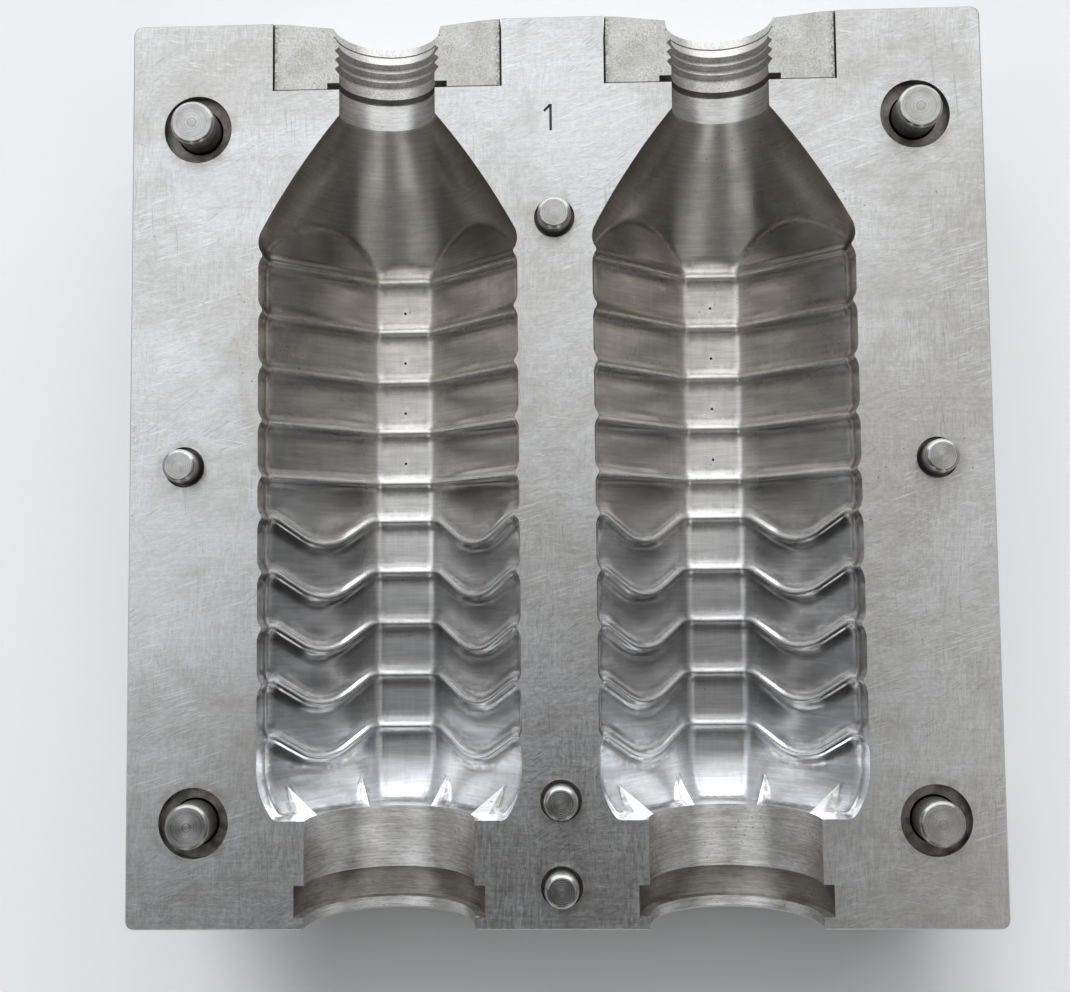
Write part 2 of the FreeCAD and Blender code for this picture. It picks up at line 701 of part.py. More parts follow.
def water_tools():
    """Four channels from the base end, ports at their mouths, and a cross channel with plug seats."""
    tools = []
    for name, side in SIDES.items():
        for row, reach in (("inner", size.water_inner_x), ("outer", size.water_outer_x)):
            tag = "water_%s_%s_" % (row, name)
            x = reach * side
            tools.append(drill(tag + "channel", size.water_radius, size.water_cross_y + neck_end,
                               x, base_end, size.water_height, ALONG_Y))
            tools.append(drill(tag + "port", size.port_radius, size.port_depth + OVERRUN, x,
                               base_end - OVERRUN, size.water_height, ALONG_Y))
    tools.append(drill("water_cross", size.water_cross_radius, size.block_width + 2 * OVERRUN,
                       -size.block_width / 2 - OVERRUN, size.water_cross_y, size.water_height, ALONG_X))
    for name, side in SIDES.items():
        room = size.plug_length + size.plug_sink + OVERRUN
        start = size.block_width / 2 * side - (room - OVERRUN if side > 0 else Dim.of(OVERRUN))
        tools.append(drill("plug_seat_" + name, size.port_radius + size.press_gap, room, start,
                           size.water_cross_y, size.water_height, ALONG_X))
    return tools


def vent_tools():
    """Fine vents below the straight ribs, each with a relief bore from the back."""
    tools = []
    for name, side in SIDES.items():
        for number in range(STRAIGHT_RIBS - 1):
            tag = "vent_%s_%d_" % (name, number + 1)
            y = first_rib - size.rib_pitch * number - size.vent_drop
            x = cavity_x * side
            tools.append(drill(tag + "hole", size.vent_radius, size.vent_land + OVERRUN, x, y,
                               cavity_floor - size.vent_land))
            tools.append(drill(tag + "relief", size.vent_relief_radius, cavity_floor - size.vent_land,
                               x, y, 0))
    return tools


def tapped_tools():
    """Four M12 holes in the back, and the lifting hole in the neck end."""
    tools = []
    for end, up in ENDS.items():
        for name, side in SIDES.items():
            tools.append(drill("back_hole_%s_%s" % (end, name), size.tapped_radius,
                               size.tapped_depth + OVERRUN, size.back_hole_x / 2 * side,
                               size.back_hole_y / 2 * up, -OVERRUN))
    tools.append(drill("lifting_hole", size.tapped_radius, size.tapped_depth + OVERRUN, 0,
                       neck_end - size.tapped_depth, size.block_thickness / 2, ALONG_Y))
    return tools


def mark_tools():
    """The engraved number 1: an upright stroke and a short flag."""
    top = neck_end - size.mark_from_neck_end
    floor = parting - size.mark_depth
    depth = size.mark_depth + OVERRUN
    left = -size.mark_left
    corner = size.mark_stroke / math.sqrt(2)
    upright = block_tool("mark_upright", size.mark_stroke, size.mark_height, depth,
                         left, top - size.mark_height, floor)
    flag = block_tool("mark_flag", size.mark_stroke, size.mark_flag, depth,
                      left + corner, top - corner, floor, Rotation(Vector(0, 0, 1), FLAG_TURN))
    return [upright, flag]


def mould_block():
    """The block with everything cut out of it."""
    block = plain_block()
    tools = pocket_tools() + guide_tools() + locating_tools() + screw_tools()
    tools += water_tools() + vent_tools() + tapped_tools() + mark_tools()
    drillings = doc.addObject("Part::MultiFuse", "drillings")
    drillings.Shapes = tools
    drilled = doc.addObject("Part::Cut", "drilled_block")
    drilled.Base = block
    drilled.Tool = drillings
    form = cavity_form()
    base = drilled
    for name, side in SIDES.items():
        cavity = doc.addObject("Part::Feature", "cavity_" + name)
        cavity.Shape = form
        put_at(cavity, cavity_x * side, 0.0, parting)
        cut = doc.addObject("Part::Cut", "block_with_%s_cavity" % name)
        cut.Base = base
        cut.Tool = cavity
        base = cut
    base.Label = "mould_block"
    return base


# The pieces fitted into the block

def thread_outline():
    """Corners of the neck form, from the insert's lower end up: radius and height."""
    end = size.insert_height - size.insert_end_step
    crest = size.ring_slot + size.thread_land
    corners = [(0, -OVERRUN), (size.ring_radius, -OVERRUN), (size.ring_radius, size.ring_slot),
               (size.neck_radius, size.ring_slot), (size.neck_radius, crest)]
    for number in range(THREAD_GROOVES):
        foot = crest + size.thread_pitch * number
        corners += [(size.thread_radius, foot + size.thread_flank),
                    (size.neck_radius, foot + size.thread_pitch)]
    mouth = crest + size.thread_pitch * THREAD_GROOVES + size.lip_run
    groove = size.lip_radius + size.lip_groove
    corners += [(size.lip_radius, mouth), (groove, mouth), (groove, mouth + size.lip_groove),
                (size.lip_radius, mouth + size.lip_groove),
                (size.lip_radius + size.lip_flare, end - size.dish_depth),
                (size.dish_radius, end), (size.dish_radius, end + OVERRUN), (0, end + OVERRUN)]
    return corners


def neck_insert(name, side):
    """A block with the neck form turned into its face and two tapped holes in its back."""
    label = "neck_insert_" + name
    body = doc.addObject("PartDesign::Body", label)
    half = size.insert_width / 2
    high = size.insert_height - size.insert_end_step
    corners = [(-half, 0), (half, 0), (half, high), (-half, high)]
    sketch = outline_sketch(body, label + "_outline", "XY_Plane", corners)
    pad = body.newObject("PartDesign::Pad", label + "_pad")
    pad.Profile = sketch
    pad.Reversed = True
    bind(pad, Length=size.insert_depth)
    doc.recompute()
    rim = edge_names(pad.Shape, lambda edge: edge.BoundBox.ZMin > -NOTHING)
    chamfer_edges(body, pad, label + "_arris", rim, size.insert_arris)
    doc.recompute()
    before = body.Shape.Volume
    neck = outline_sketch(body, label + "_neck_outline", "XY_Plane", thread_outline())
    turned(body, label + "_neck", neck, "PartDesign::Groove")
    doc.recompute()
    cut = body.Shape.Volume
    holes = new_sketch(body, label + "_hole_places", "XY_Plane")
    holes.AttachmentOffset = Placement(Vector(), Rotation())
    holes.setExpression(".AttachmentOffset.Base.z", (-size.insert_depth).text)
    for index, sign in enumerate((-1, 1)):
        across = size.screw_offset * sign
        along = size.insert_height / 2
        radius = size.screw_radius + size.press_gap
        holes.addGeometry(Part.Circle(Vector(across.value, along.value, 0), Vector(0, 0, 1), radius.value))
        pin_point(holes, index, 3, across, 0)
        pin_point(holes, index, 3, along, 1)
        round_size = holes.addConstraint(Sketcher.Constraint("Radius", index, radius.value))
        holes.setExpression("Constraints[%d]" % round_size, radius.text)
    tapped = body.newObject("PartDesign::Pocket", label + "_tapped_holes")
    tapped.Profile = holes
    tapped.Reversed = True
    bind(tapped, Length=size.screw_grip + size.screw_tip_room)
    doc.recompute()
    if not before > cut > body.Shape.Volume:
        raise ValueError(label + ": the neck or the tapped holes cut nothing")
    return put_at(body, side * cavity_x, insert_base, parting)


def guide_pin(end, name, side):
    """A headed pin pressed in from the back, with a thinner free end that starts in its recess."""
    tip = parting + size.guide_rise
    seat = size.head_sink + size.guide_head_height
    recess = parting - size.guide_recess_depth
    body = turned_body("guide_pin_%s_%s" % (end, name), [
        (0, size.head_sink), (size.guide_head_radius, size.head_sink), (size.guide_head_radius, seat),
        (size.guide_shank_radius, seat), (size.guide_shank_radius, recess), (size.guide_radius, recess),
        (size.guide_radius, tip - size.guide_chamfer), (size.guide_radius - size.guide_chamfer, tip),
        (0, tip)])
    return put_at(body, guide_x * side, guide_y[end], 0.0)


def locating_pin(name, x, y):
    """A plain dowel pressed into a blind bore."""
    tip = parting + size.locating_rise
    foot = parting - size.locating_depth
    chamfer = size.locating_chamfer
    body = turned_body("locating_pin_" + name, [
        (0, foot), (size.locating_radius - chamfer, foot), (size.locating_radius, foot + chamfer),
        (size.locating_radius, tip - chamfer), (size.locating_radius - chamfer, tip), (0, tip)])
    return put_at(body, x, y, 0.0)


def insert_screw(name, x, y):
    """A socket cap screw from the back into a neck insert."""
    tip = insert_floor + size.screw_grip
    label = "insert_screw_" + name
    body = turned_body(label, [
        (0, size.head_sink), (size.screw_head_radius, size.head_sink), (size.screw_head_radius, screw_seat),
        (size.screw_radius, screw_seat), (size.screw_radius, tip), (0, tip)])
    cut_hexagon(body, label + "_socket", size.screw_socket, size.screw_socket_depth, size.head_sink, True)
    return put_at(body, x, y, 0.0)


def channel_plug(name, side):
    """A socket plug in one end of the cross channel."""
    label = "channel_plug_" + name
    body = turned_body(label, [(0, 0), (size.port_radius, 0), (size.port_radius, size.plug_length),
                               (0, size.plug_length)])
    cut_hexagon(body, label + "_socket", size.screw_socket, size.screw_socket_depth, 0.0, True)
    outer = (size.block_width / 2 - size.plug_sink) * side
    return put_at(body, outer, size.water_cross_y, size.water_height, Rotation(Vector(0, 1, 0), -90 * side))


def build_pieces():
    """Every separate piece, by the name of its node."""
    pieces = [mould_block()]
    for name, side in SIDES.items():
        pieces.append(neck_insert(name, side))
    for end in ENDS:
        for name, side in SIDES.items():
            pieces.append(guide_pin(end, name, side))
    for place in locating_places():
        pieces.append(locating_pin(*place))
    for place in screw_places():
        pieces.append(insert_screw(*place))
    for name, side in SIDES.items():
        pieces.append(channel_plug(name, side))
    return pieces


def check_document():
    for item in doc.Objects:
        for state in item.State:
            if state in ("Invalid", "Error"):
                raise ValueError("%s is in state %s" % (item.Name, state))


def export_pieces(pieces):
    os.makedirs("parts", exist_ok=True)
    for piece in pieces:
        shape = piece.Shape
        if shape.isNull() or not shape.isValid() or len(shape.Solids) != 1:
            raise ValueError("%s has no single sound solid" % piece.Label)
    for piece in pieces:
        piece.Shape.exportStep("parts/%s.step" % piece.Label)
        print("%-28s %10.1f mm3" % (piece.Label, piece.Shape.Volume))


pieces = build_pieces()
doc.recompute()
check_document()
export_pieces(pieces)
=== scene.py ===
import functools
import math

import bmesh
import bpy
import numpy as np
from mathutils import Matrix, Vector


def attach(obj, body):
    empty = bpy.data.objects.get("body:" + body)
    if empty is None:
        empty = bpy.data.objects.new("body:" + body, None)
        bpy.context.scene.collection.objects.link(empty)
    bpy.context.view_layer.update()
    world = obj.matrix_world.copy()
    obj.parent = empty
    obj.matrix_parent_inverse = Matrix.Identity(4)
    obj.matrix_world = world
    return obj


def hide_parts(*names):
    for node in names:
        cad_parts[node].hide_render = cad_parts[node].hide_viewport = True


# One half of a two-cavity blow mould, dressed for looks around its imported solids.
# Shapes are worked out in millimetres in the row's frame and written to meshes in metres.

MM = 0.001
MICRON = 0.000001
SIDES = {"left": -1, "right": 1}
BOTH = (-1, 1)

# Sizes shared with the solids, in millimetres and degrees
BLOCK = (236.0, 250.0, 60.0)
BLOCK_CORNER = 2.5
BLOCK_ARRIS = 0.4
CAVITY_X = 46.35
INSERT_BASE = 105.5
NECK_RADIUS = 13.4
SHOULDER_TOP = 98.2
SHOULDER_FOOT = 64.2
SHOULDER_BULGE = 1.05
SHOULDER_BLEND = 0.8
BODY_RADIUS = 36.0
FLAT_WIDTH = 16.6
EDGE_ROUND = 4.0
FIRST_RIB = 58.9
RIB_PITCH = 15.35
FIRST_WAVE = -14.0
WAVE_PITCH = 15.27
RIB_COUNT = 5
RIB_HEIGHT = 1.1
RIB_CREST = 1.3
RIB_FLANK = math.radians(40.0)
RIB_COVE = 2.5
RIB_FOOT = math.radians(15.0)
WAVE_SLOPE = math.radians(30.0)
WAVE_TOP_RADIUS = 5.0
WAVE_DIP_RADIUS = 16.0
BASE_PLANE = -96.18
BASE_RISE = 13.7
BASE_RADIUS = 22.0
BASE_CORNER = 2.5
GUSSET_HEIGHT = 8.2
GUSSET_SPREAD = math.radians(23.0)
GUSSET_DEPTH = 14.0
GUSSET_OVER = 0.3
GUSSET_ANGLES = (22.5, 67.5, 112.5, 157.5)
SEAT_RADIUS = 23.0
SEAT_GROOVE_RADIUS = 25.8
SEAT_GROOVE_WIDTH = 8.4
SEAT_LIP = 3.3
SEAT_CHAMFER = 0.6
SEAT_OVER = 1.0
OVERRUN = 3.0
SIDE_TURN = math.radians(45.0)
PANEL_DISTANCE = (BODY_RADIUS + FLAT_WIDTH / 2) / math.sqrt(2)

# Faces that meet at more than these angles have a sharp edge between them, in degrees
SHARP_ON = {"block": 32.0, "insert": 20.0, "pin": 50.0}

# Steps of the cavity's mesh: columns across panels, flats and edges, and rows in millimetres or in number
PANEL_COLUMNS = 34
FLAT_COLUMNS = 8
ARC_COLUMNS = 7
RIB_ROWS = (3.05, 2.5, 2.0, 1.6, 1.25, 0.95, 0.7, 0.45, 0.22)
WALL_STEP = 1.6
NECK_STEP = 1.2
SHOULDER_ROWS = 74
SHOULDER_GAP = 0.4
BASE_ROWS = 14
BASE_GAP = 0.3
CORNER_ROWS = 7
CORNER_GAP = 0.2
WAVE_FADE = 3.0

# How many segments make a turned form round
ROUND = {"vent": 20, "relief": 32, "hole": 64, "locating": 72, "guide": 96, "pin": 96,
         "seat": 192, "neck": 256}

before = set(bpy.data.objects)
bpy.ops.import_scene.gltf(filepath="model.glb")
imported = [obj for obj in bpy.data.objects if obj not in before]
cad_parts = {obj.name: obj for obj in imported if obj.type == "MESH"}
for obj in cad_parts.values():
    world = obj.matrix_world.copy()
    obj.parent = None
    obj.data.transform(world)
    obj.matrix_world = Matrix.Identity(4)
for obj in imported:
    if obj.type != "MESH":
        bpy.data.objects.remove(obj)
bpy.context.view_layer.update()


# Meshes

def placed(name, data):
    """An object in the scene with a mesh, lamp or camera."""
    thing = bpy.data.objects.new(name, data)
    bpy.context.scene.collection.objects.link(thing)
    return thing


def mesh_object(name, points, faces):
    """A mesh from points in millimetres."""
    mesh = bpy.data.meshes.new(name)
    mesh.from_pydata([tuple(p) for p in np.asarray(points, float) * MM], [], faces)
    mesh.update()
    return placed(name, mesh)


def face_outwards(thing):
    """Turn every face of a closed form outwards."""
    edit = bmesh.new()
    edit.from_mesh(thing.data)
    bmesh.ops.recalc_face_normals(edit, faces=edit.faces)
    edit.to_mesh(thing.data)
    edit.free()
    return thing


def grid_faces(rows, columns, closed=False):
    """Quads between rows of points, each row with the same number of columns."""
    wrap = columns if closed else columns - 1
    return [(r * columns + c, r * columns + (c + 1) % columns,
             (r + 1) * columns + (c + 1) % columns, (r + 1) * columns + c)
            for r in range(rows - 1) for c in range(wrap)]


def closed_grid(name, grid):
    """A closed form from rings of points, capped at both ends."""
    rows, columns = grid.shape[:2]
    faces = grid_faces(rows, columns, closed=True)
    faces.append(tuple(range(columns)))
    faces.append(tuple(range((rows - 1) * columns, rows * columns)))
    return face_outwards(mesh_object(name, grid.reshape(-1, 3), faces))


def lathe(name, profile, centre, axis="Z", segments=ROUND["hole"]):
    """A turned form. Profile: radius and place along the axis, starting and ending on the axis."""
    turns = np.linspace(0, 2 * math.pi, segments, endpoint=False)
    rings = [np.stack([radius * np.cos(turns), radius * np.sin(turns), np.full(segments, along)], 1)
             for radius, along in profile[1:-1]]
    points = np.concatenate(rings + [np.array([[0, 0, profile[0][1]], [0, 0, profile[-1][1]]])])
    count = len(rings)
    faces = grid_faces(count, segments, closed=True)
    first, last = count * segments, count * segments + 1
    for s in range(segments):
        after = (s + 1) % segments
        faces.append((first, after, s))
        faces.append((last, (count - 1) * segments + s, (count - 1) * segments + after))
    if axis == "Y":
        points = points[:, [0, 2, 1]] * np.array([1, 1, -1])
    elif axis == "X":
        points = points[:, [2, 1, 0]] * np.array([1, 1, -1])
    return face_outwards(mesh_object(name, points + np.array(centre), faces))


def sunk(name, outline, depth):
    """A cutting form that takes an outline down to a depth below the parting face."""
    rings = [[(x, y, z) for x, y in outline] for z in (BLOCK[2] - depth, BLOCK[2] + OVERRUN)]
    return closed_grid(name, np.array(rings))


def joined(name, things):
    """One object from several forms that don't touch."""
    edit = bmesh.new()
    for thing in things:
        edit.from_mesh(thing.data)
        discard(thing)
    mesh = bpy.data.meshes.new(name)
    edit.to_mesh(mesh)
    edit.free()
    return placed(name, mesh)


def discard(thing):
    """Take away a form that has been used."""
    mesh = thing.data
    bpy.data.objects.remove(thing)
    if mesh.users == 0:
        bpy.data.meshes.remove(mesh)


def cut(target, tool):
    """Cut one form out of another and throw it away."""
    step = target.modifiers.new("cut", "BOOLEAN")
    step.operation = "DIFFERENCE"
    step.solver = "MANIFOLD"
    step.object = tool
    graph = bpy.context.evaluated_depsgraph_get()
    mesh = bpy.data.meshes.new_from_object(target.evaluated_get(graph))
    target.modifiers.clear()
    old = target.data
    target.data = mesh
    bpy.data.meshes.remove(old)
    discard(tool)


def smooth_with_edges(thing, degrees):
    """Smooth shading with sharp edges where faces meet at more than the angle."""
    edit = bmesh.new()
    edit.from_mesh(thing.data)
    limit = math.radians(degrees)
    for face in edit.faces:
        face.smooth = True
    for edge in edit.edges:
        edge.smooth = edge.is_manifold and edge.calc_face_angle(0.0) < limit
    edit.to_mesh(thing.data)
    edit.free()


# The cavity

def arc_height(radius, away):
    """How high an arc stands above its centre, at a distance to the side."""
    return np.sqrt(np.maximum(radius ** 2 - away ** 2, 0))


def eight_sides(inset):
    """Half outline of the body below the parting plane: places, outward normals and shares of a panel.

    The number of columns stays the same for any inset, so rows with different insets join up.
    """
    distance = [BODY_RADIUS - inset if k % 2 == 0 else PANEL_DISTANCE - inset for k in range(5)]
    normals = [np.array([math.cos(k * SIDE_TURN), math.sin(k * SIDE_TURN)]) for k in range(5)]
    centres = []
    for k in range(4):
        both = np.array([normals[k], normals[k + 1]])
        centres.append(np.linalg.solve(both, np.array([distance[k], distance[k + 1]]) - EDGE_ROUND))
    columns = []
    for k in range(5):
        start = centres[k - 1] + EDGE_ROUND * normals[k] if k else np.array([distance[0], 0.0])
        end = centres[k] + EDGE_ROUND * normals[k] if k < 4 else np.array([-distance[4], 0.0])
        steps = PANEL_COLUMNS if k % 2 else (FLAT_COLUMNS if k == 2 else FLAT_COLUMNS // 2)
        for t in np.linspace(0, 1, steps + 1):
            columns.append((start + (end - start) * t, normals[k], t if k % 2 else -1.0))
        if k < 4:
            for t in np.linspace(0, 1, ARC_COLUMNS + 1)[1:-1]:
                turn = (k + t) * SIDE_TURN
                way = np.array([math.cos(turn), math.sin(turn)])
                columns.append((centres[k] + EDGE_ROUND * way, way, -1.0))
    return [np.array(values) for values in zip(*columns)]


def wave_dip(share):
    """Drop of a wavy rib and its slope, at a share of the way across a panel."""
    edge_run = EDGE_ROUND * math.tan(SIDE_TURN / 2)
    run = math.sqrt(2) * (BODY_RADIUS - FLAT_WIDTH / 2) - 2 * edge_run
    along = np.minimum(share, 1 - share) * run
    sine, cosine = math.sin(WAVE_SLOPE), math.cos(WAVE_SLOPE)
    first_end = WAVE_TOP_RADIUS * sine
    level = run / 2 - (WAVE_TOP_RADIUS + WAVE_DIP_RADIUS) * sine
    second_end = first_end + level
    first_drop = WAVE_TOP_RADIUS * (1 - cosine)
    second_drop = first_drop + level * math.tan(WAVE_SLOPE)
    total = second_drop + WAVE_DIP_RADIUS * (1 - cosine)
    top = WAVE_TOP_RADIUS - arc_height(WAVE_TOP_RADIUS, along)
    middle = first_drop + (along - first_end) * math.tan(WAVE_SLOPE)
    inner = run / 2 - along
    bottom = total - WAVE_DIP_RADIUS + arc_height(WAVE_DIP_RADIUS, inner)
    first_turn = np.arcsin(np.clip(along / WAVE_TOP_RADIUS, -1, 1))
    last_turn = np.arcsin(np.clip(inner / WAVE_DIP_RADIUS, -1, 1))
    stretch = [along < first_end, along < second_end]
    drop = np.select(stretch, [top, middle], bottom)
    turn = np.select(stretch, [first_turn, np.full_like(along, WAVE_SLOPE)], last_turn)
    outside = share < 0
    return np.where(outside, 0.0, drop), np.where(outside, 1.0, np.cos(turn))


def rib_profile(away):
    """Height of a rib above the wall at a distance from its crest line."""
    away = np.abs(away)
    crest_end = RIB_CREST * math.sin(RIB_FLANK)
    crest_height = RIB_HEIGHT - RIB_CREST * (1 - math.cos(RIB_FLANK))
    centre = crest_end + RIB_COVE * math.sin(RIB_FLANK)
    centre_height = crest_height + RIB_COVE * math.cos(RIB_FLANK)
    cove_end = centre - RIB_COVE * math.sin(RIB_FOOT)
    cove_height = centre_height - RIB_COVE * math.cos(RIB_FOOT)
    crest = RIB_HEIGHT - RIB_CREST + arc_height(RIB_CREST, away)
    cove = centre_height - arc_height(RIB_COVE, centre - away)
    bank = cove_height - (away - cove_end) * math.tan(RIB_FOOT)
    height = np.where(away < crest_end, crest, np.where(away < cove_end, cove, bank))
    return np.maximum(height, 0)


def shoulder_radius(along):
    """Radius of the bowed shoulder and the neck above it, carried on below the shoulder's foot."""
    foot = np.array([BODY_RADIUS, SHOULDER_FOOT])
    top = np.array([NECK_RADIUS, SHOULDER_TOP])
    chord = top - foot
    length = np.linalg.norm(chord)
    outward = np.array([chord[1], -chord[0]]) / length
    radius = (length ** 2 / 4 + SHOULDER_BULGE ** 2) / (2 * SHOULDER_BULGE)
    centre = (foot + top) / 2 - outward * (radius - SHOULDER_BULGE)
    bowed = centre[0] + arc_height(radius, along - centre[1])
    slope = (foot[1] - centre[1]) / (foot[0] - centre[0])
    below = BODY_RADIUS + (SHOULDER_FOOT - along) * slope
    return np.where(along > SHOULDER_TOP, NECK_RADIUS, np.where(along > SHOULDER_FOOT, bowed, below))


def rounded_less(one, other, blend):
    """The lesser of two lengths, rounded over where they cross."""
    share = np.clip(0.5 + 0.5 * (other - one) / blend, 0, 1)
    return other * (1 - share) + one * share - blend * share * (1 - share)


def row_levels():
    """Row places along the axis, close together on the ribs, with how far each row follows the waves."""
    ribs = [FIRST_RIB - RIB_PITCH * k for k in range(RIB_COUNT)]
    ribs += [FIRST_WAVE - WAVE_PITCH * k for k in range(RIB_COUNT)]
    near = np.array(RIB_ROWS)
    offsets = np.concatenate([near, [0.0], -near[::-1]])
    levels = []
    for index, rib in enumerate(ribs):
        levels += list(rib + offsets)
        low = rib - near[0]
        high = ribs[index + 1] + near[0] if index + 1 < len(ribs) else BASE_PLANE + BASE_RISE
        steps = max(int((low - high) / WALL_STEP), 1)
        levels += list(np.linspace(low, high, steps + 1)[1:-1])
    curve = np.linspace(BASE_PLANE + BASE_RISE, BASE_PLANE + BASE_CORNER, BASE_ROWS)
    levels = [level for level in levels if level > curve[0] + BASE_GAP] + list(curve)
    upper = list(np.arange(INSERT_BASE + OVERRUN, SHOULDER_TOP, -NECK_STEP))
    upper += list(np.linspace(SHOULDER_TOP, FIRST_RIB + near[0] + SHOULDER_GAP, SHOULDER_ROWS))
    return np.array(upper + levels)


def base_rows():
    """Inset and place of the wall where it curves in, then round the small radius onto the base plane."""
    start = BASE_PLANE + BASE_RISE
    reach = BASE_RADIUS - BASE_CORNER
    down = BASE_RISE - BASE_CORNER
    centre_inset = BASE_RADIUS - math.sqrt(reach ** 2 - down ** 2)
    turn = math.asin(down / reach)
    rows = []
    for step in np.linspace(turn, math.pi / 2, CORNER_ROWS):
        rows.append((centre_inset - BASE_CORNER * math.cos(step),
                     start - down - BASE_CORNER * math.sin(step)))
    return rows, start - down - BASE_CORNER * math.sin(turn)


def wall_inset(along):
    """How far the walls have curved in at a place along the axis."""
    down = np.maximum(BASE_PLANE + BASE_RISE - along, 0)
    return BASE_RADIUS - arc_height(BASE_RADIUS, down)


def cavity_row(level, follow):
    """One row of the cavity wall: across, along and down."""
    plain, outward, share = eight_sides(0.0)
    drop, cosine = wave_dip(share)
    along = level - follow * drop
    insets = wall_inset(along)
    if insets.max() > 0:
        near = {round(float(v), 6): eight_sides(float(v))[0] for v in np.unique(np.round(insets, 6))}
        plain = np.array([near[round(float(v), 6)][c] for c, v in enumerate(insets)])
    height = np.zeros(len(plain))
    for k in range(RIB_COUNT):
        height = np.maximum(height, rib_profile(along - (FIRST_RIB - RIB_PITCH * k)))
        wave = (along - (FIRST_WAVE - WAVE_PITCH * k - drop)) * cosine
        height = np.maximum(height, rib_profile(wave))
    place = plain - outward * height[:, None]
    radius = np.linalg.norm(place, axis=1)
    bowed = shoulder_radius(along)
    held = rounded_less(radius, bowed, SHOULDER_BLEND)
    place = place * np.where(bowed - radius < SHOULDER_BLEND, held / radius, 1.0)[:, None]
    return np.stack([place[:, 0], along, place[:, 1]], 1)


def cavity_grid():
    """Rows of the half cavity, carried above the parting plane and closed over."""
    fillet, wall_end = base_rows()
    rows = []
    waves_start = FIRST_WAVE + WAVE_FADE
    straight_end = FIRST_RIB - RIB_PITCH * (RIB_COUNT - 1) - WAVE_FADE
    waves_end = FIRST_WAVE - WAVE_PITCH * (RIB_COUNT - 1) - WAVE_FADE
    for level in row_levels():
        if level < wall_end + CORNER_GAP:
            continue
        start = np.clip((straight_end - level) / (straight_end - waves_start), 0, 1)
        end = np.clip((waves_end - level) / (waves_end - wall_end), 0, 1)
        rows.append(cavity_row(level, start * (1 - end)))
    for inset, along in fillet:
        place = eight_sides(inset)[0]
        rows.append(np.stack([place[:, 0], np.full(len(place), along), place[:, 1]], 1))
    grid = np.array(rows)
    first, last = grid[:, :1].copy(), grid[:, -1:].copy()
    first[:, :, 2] = -OVERRUN
    last[:, :, 2] = -OVERRUN
    return np.concatenate([first, grid, last], 1)


def in_block(grid, side):
    """Across, along and down to the row's X, Y and Z."""
    x = grid[..., 0] + CAVITY_X * side
    return np.stack([x, grid[..., 1], BLOCK[2] - grid[..., 2]], -1)


def wall_reach(angle):
    """Distance from the cavity's axis to its wall at an angle below the parting plane."""
    nearest = min(abs(angle - flat) for flat in (0, 90, 180))
    flat_reach = BODY_RADIUS / math.cos(math.radians(nearest))
    panel_reach = PANEL_DISTANCE / math.cos(SIDE_TURN - math.radians(nearest))
    return min(flat_reach, panel_reach)


def gusset(angle, side):
    """A narrow three-sided ridge across the corner between wall and base."""
    wall = wall_reach(angle) + GUSSET_OVER
    slope = (wall - SEAT_RADIUS) / GUSSET_HEIGHT
    inner = np.array([SEAT_RADIUS - slope * OVERRUN, BASE_PLANE - OVERRUN])
    outer = np.array([wall + OVERRUN, BASE_PLANE + GUSSET_HEIGHT + OVERRUN / slope])
    away = np.array([outer[1] - inner[1], inner[0] - outer[0]])
    away *= GUSSET_DEPTH / np.linalg.norm(away)
    half = math.tan(GUSSET_SPREAD) * GUSSET_DEPTH
    turn = math.radians(angle)
    points = []
    for end in (inner, outer):
        for reach, sideways in ((end, 0), (end + away, half), (end + away, -half)):
            across = reach[0] * math.cos(turn) - sideways * math.sin(turn)
            down = reach[0] * math.sin(turn) + sideways * math.cos(turn)
            points.append((across, reach[1], down))
    faces = [(0, 1, 2), (3, 5, 4), (0, 3, 4, 1), (1, 4, 5, 2), (2, 5, 3, 0)]
    return face_outwards(mesh_object("gusset", in_block(np.array(points, float), side), faces))


def cavity(side):
    """The form of one half bottle, which is cut out of the block."""
    form = closed_grid("cavity", in_block(cavity_grid(), side))
    for angle in GUSSET_ANGLES:
        cut(form, gusset(angle, side))
    return form


def seat(side):
    """The open seat for the base insert."""
    end = -BLOCK[1] / 2
    lip = end + SEAT_LIP
    groove_top = lip + SEAT_GROOVE_WIDTH
    inside = BASE_PLANE + SEAT_OVER
    profile = [(0, inside), (SEAT_RADIUS, inside), (SEAT_RADIUS, groove_top),
               (SEAT_GROOVE_RADIUS, groove_top), (SEAT_GROOVE_RADIUS, lip), (SEAT_RADIUS, lip),
               (SEAT_RADIUS, end + SEAT_CHAMFER), (SEAT_RADIUS + SEAT_CHAMFER, end),
               (SEAT_RADIUS + SEAT_CHAMFER, end - OVERRUN), (0, end - OVERRUN)]
    return lathe("seat", profile, (CAVITY_X * side, 0, BLOCK[2]), "Y", ROUND["seat"])


# The block

GUIDE_X = 99.5
GUIDE_Y = {"upper": 94.9, "lower": -96.6}
GUIDE_HEAD_HOLE = (8.8, 5.5)
LOCATING_PLACES = {"left": (-102.7, 0.0), "right": (102.7, 0.0), "upper": (0.0, 67.9),
                   "lower": (0.0, -91.0), "lowest": (0.0, -113.8)}
RECESSES = {"guide": (9.5, 2.5), "locating": (5.6, 2.5)}
PIN_PLACES = [("guide", "%s_%s" % (end, name), GUIDE_X * side, y)
              for end, y in GUIDE_Y.items() for name, side in SIDES.items()]
PIN_PLACES += [("locating", name, x, y) for name, (x, y) in LOCATING_PLACES.items()]
INSERT_ROOM = (64.3, 28.0)
SCREW_X = 23.0
SCREW_Y = 115.25
SCREW_HEAD_HOLE = (5.3, 6.5)
WATER_X = (25.0, 65.0)
WATER_Z = 11.0
WATER_RADIUS = 4.0
WATER_DEPTH = 60.0
PORT = (4.9, 12.0)
